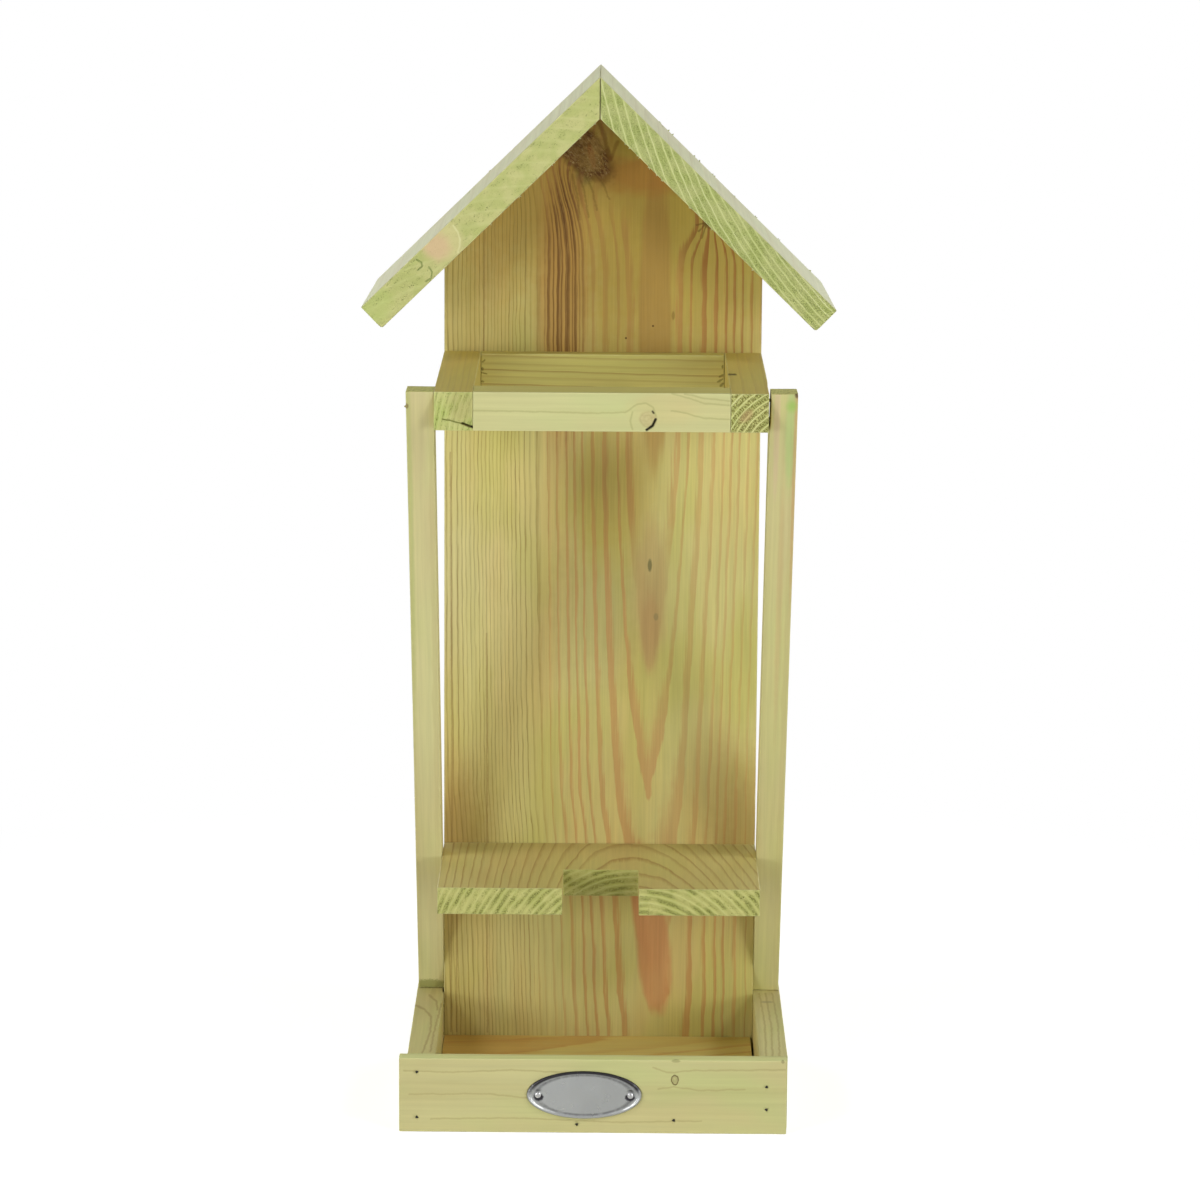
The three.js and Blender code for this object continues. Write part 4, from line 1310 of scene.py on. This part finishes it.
trayFront = plainBoard("tray_front", "trayFront", "pine_batten", 61, (1, 0, 0), (1.6, 1.4, 1.2),
                       nails=("front_nail",), near=(((30.2, 2.2, 0.3),), (), ((20.6, 2.2, 0.3),)))
frontFace = trayFront["low"][1]
trayFront["hollows"] = [{"at": (30.2, frontFace, 20.6), "size": (1.7, 1.5, 1.8), "depth": 0.14, "rough": 0.12,
                         "grain": 0.7}]
makeBoard(trayFront, straightLook(
    trayFront, "across", pith=(0, 60, -20), rings=(0.2, 0.0, 0), lateDepth=0.3, fibre=0.05,
    late=tint(176, 160, 104), pale=tint(202, 196, 140), warm=tint(200, 190, 134),
    green=tint(190, 198, 130), greenShare=0.6,
    knots=[{"at": (30.2, frontFace, 20.6), "size": (1.75, 1.25), "bend": 0.85, "fade": 0.2, "whorls": 7,
            "dark": tint(104, 88, 48), "light": tint(186, 172, 116), "rough": 1, "rim": 1, "grain": 1,
            "share": 0.4}],
    # painted highlight: a paler strip along the top face
    patches=[area((0, -46, 29), (400, 9, 0.95), (232, 238, 164), 0.85, soft=0.2, ragged=0)],
    strokes=[line(onFace(frontFace, *path), 0.5, (166, 152, 98), 0.45) for path in (
        ((-70, 23.4), (-52, 23), (-30, 24), (-10, 23.2)), ((-68, 14.4), (-40, 14.8), (-22, 13.2)),
        ((22, 25.4), (27, 23.6), (30, 23.4), (34, 24.2), (46, 24.4), (71, 24.8)),
        ((24, 17), (30, 18), (40, 16.6), (56, 17.2)), ((-60, 5), (-30, 5.6), (10, 4.2), (40, 5)))],
    marks=[area((30.5, frontFace, 27.8), (1.6, 2, 0.5), (150, 146, 92), 0.6),
           area((70, frontFace, 27.8), (0.6, 2, 0.6), (140, 130, 84), 0.6)]))


# plate, pins and nails
def pressedMetal(name, colour, roughness, darkReflectionAndShadow=None):
    material, wire = newMaterial(name)
    place = wire.node("ShaderNodeTexCoord", output="Object").vector("DIVIDE", (mm, mm, mm))
    grain = place.noise((0.3, 0.3, 0.12), 3)
    dents = place.noise(3.2, 2)
    cloud = place.noise(1.8, 3)
    dull = tuple(value * 0.6 for value in colour[:3]) + (1,)
    tone = wire.mix(place.noise(14, 1).ease(0.3, 0.7) * 0.2 + grain.ease(0.4, 0.6) * 0.4, colour, dull)
    # painted dark reflection along the upper part of the rim, a darker band inside the rim, and painted shadow
    # below each pin
    if darkReflectionAndShadow:  # darker along the upper part of the rim
        x = wire.node("ShaderNodeSeparateXYZ", {}, {0: place})
        wide = (x - darkReflectionAndShadow["centre"][0]) / darkReflectionAndShadow["half"][0]
        tall = (x.other(2) - darkReflectionAndShadow["centre"][1]) / darkReflectionAndShadow["half"][1]
        away = (wide * wide + tall * tall) ** 0.5
        rim = away.ease(0.86, 0.93) * (tall + (cloud - 0.5) * 0.8).ease(-0.1, 0.5)
        tone = tone.blend(rim, darkReflectionAndShadow["colour"])
        groove = away.ease(0.76, 0.83) * (1 - away.ease(0.84, 0.9)) * (cloud.ease(0.3, 0.6) * 0.5 + 0.4)
        tone = tone.blend(groove * 0.6, darkReflectionAndShadow["colour"])
        # painted shadow below and beside each pin
        for centre in darkReflectionAndShadow["pinShadows"]:
            dark = spot(place, centre, darkReflectionAndShadow["pinShadowSize"], 0, 0.2, 0.2, 0.6, (0, 1, 0))
            tone = tone.blend(dark, darkReflectionAndShadow["colour"])
    bump = wire.node("ShaderNodeBump", sockets={"Height": grain * 0.3 + dents * 2.0, "Distance": 0.0001})
    shader = wire.node("ShaderNodeBsdfPrincipled", sockets={
        "Base Color": tone, "Metallic": 1.0, "Roughness": dents * 0.16 + (roughness - 0.08), "Normal": bump})
    wire.node("ShaderNodeOutputMaterial", sockets={"Surface": shader})
    return material


def ovalRings(rings, around):  # ovals from the rim's back to the middle, as half width, half height and front
    points, faces = [], []
    ovals = [[(across * math.cos(angle), front, up * math.sin(angle)) for angle in turnsOf(around)]
             for across, up, front in rings]
    addTube(points, faces, ovals)
    return np.array(points), faces


plateLow, plateHigh = span("oval_plate")
plate = {
    "around": 144,
    "rim": ((0, 0.05), (0, 0.3), (0.08, 0.55), (0.25, 0.8), (0.5, 0.93), (0.75, 0.94), (1.0, 0.84), (1.2, 0.66),
            (1.4, 0.52), (1.65, 0.46), (2.0, 0.46), (2.3, 0.5)),
    "field": [1 - step / 26 for step in range(1, 26)] + [0.02],
    "crown": 0.06,
    "dimple": {"inner": (0.9, 1.4), "outer": (1.5, 2.4), "depth": 0.3},
}
plateMiddle = (plateLow + plateHigh) / 2
plateHalf = (plateHigh - plateLow) / 2
rings = [(plateHalf[0] - inset, plateHalf[2] - inset, -height) for inset, height in plate["rim"]]
inset, height = plate["rim"][-1]
for share in plate["field"]:
    rings.append(((plateHalf[0] - inset) * share, (plateHalf[2] - inset) * share,
                  -height - plate["crown"] * (1 - share * share)))
points, faces = ovalRings(rings, plate["around"])
points += (plateMiddle[0], plateHigh[1], plateMiddle[2])
points[:, 1] -= 0.03 * smoothNoise(points, 2.6, 71)
pins = [sum(span(f"plate_pin_{hand}")) / 2 for hand in ("left", "right")]
for x, y, z in pins:  # the sheet is pressed in round each pin
    away = np.hypot(points[:, 0] - x, points[:, 2] - z)
    ring = fade(away, *plate["dimple"]["inner"]) * (1 - fade(away, *plate["dimple"]["outer"]))
    points[:, 1] += plate["dimple"]["depth"] * ring * (points[:, 1] < plateHigh[1] - 0.4)
# painted dark reflection on the rim and painted shadow below the pins
plateMetal = pressedMetal("pressedPlate", (0.36, 0.37, 0.365, 1), 0.3, {
    "centre": (plateMiddle[0], plateMiddle[2]), "half": (plateHalf[0], plateHalf[2]),
    "colour": (0.035, 0.033, 0.037, 1), "pinShadowSize": (1.9, 9, 1.4),
    "pinShadows": [(x - 0.2 * np.sign(x), y, z - 0.9) for x, y, z in pins]})
finishPiece(added("ovalPlate", meshFrom("ovalPlate", points, faces)), "oval_plate", plateMetal)

pin = {
    "head": ((1.0, 0.0), (1.04, 0.16), (0.94, 0.34), (0.74, 0.48), (0.48, 0.57), (0.22, 0.61), (0.05, 0.62)),
    "widest": 1.04,
    "shaft": 0.5,
    "sides": 28,
}
pinMetal = pressedMetal("pinHead", (0.42, 0.42, 0.42, 1), 0.26)
for hand, middle in zip(("left", "right"), pins):
    low, high = span(f"plate_pin_{hand}")
    radius = (high[0] - low[0]) / 2
    rise = pin["head"][-1][1]
    rings = [(pin["shaft"], high[1] - low[1] - rise), (pin["shaft"], 0)]
    rings += [(share / pin["widest"], -front) for share, front in pin["head"]]
    points, faces = ovalRings([(radius * share, radius * share, front) for share, front in rings], pin["sides"])
    points += (middle[0], low[1] + rise, middle[2])
    piece = added(f"platePin{hand.title()}", meshFrom("platePin", points, faces))
    finishPiece(piece, f"plate_pin_{hand}", pinMetal)

nailMetal = pressedMetal("dullNail", (0.06, 0.055, 0.05, 1), 0.5)
for name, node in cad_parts.items():
    if "nail" in name:
        node.data.materials.clear()
        node.data.materials.append(nailMetal)
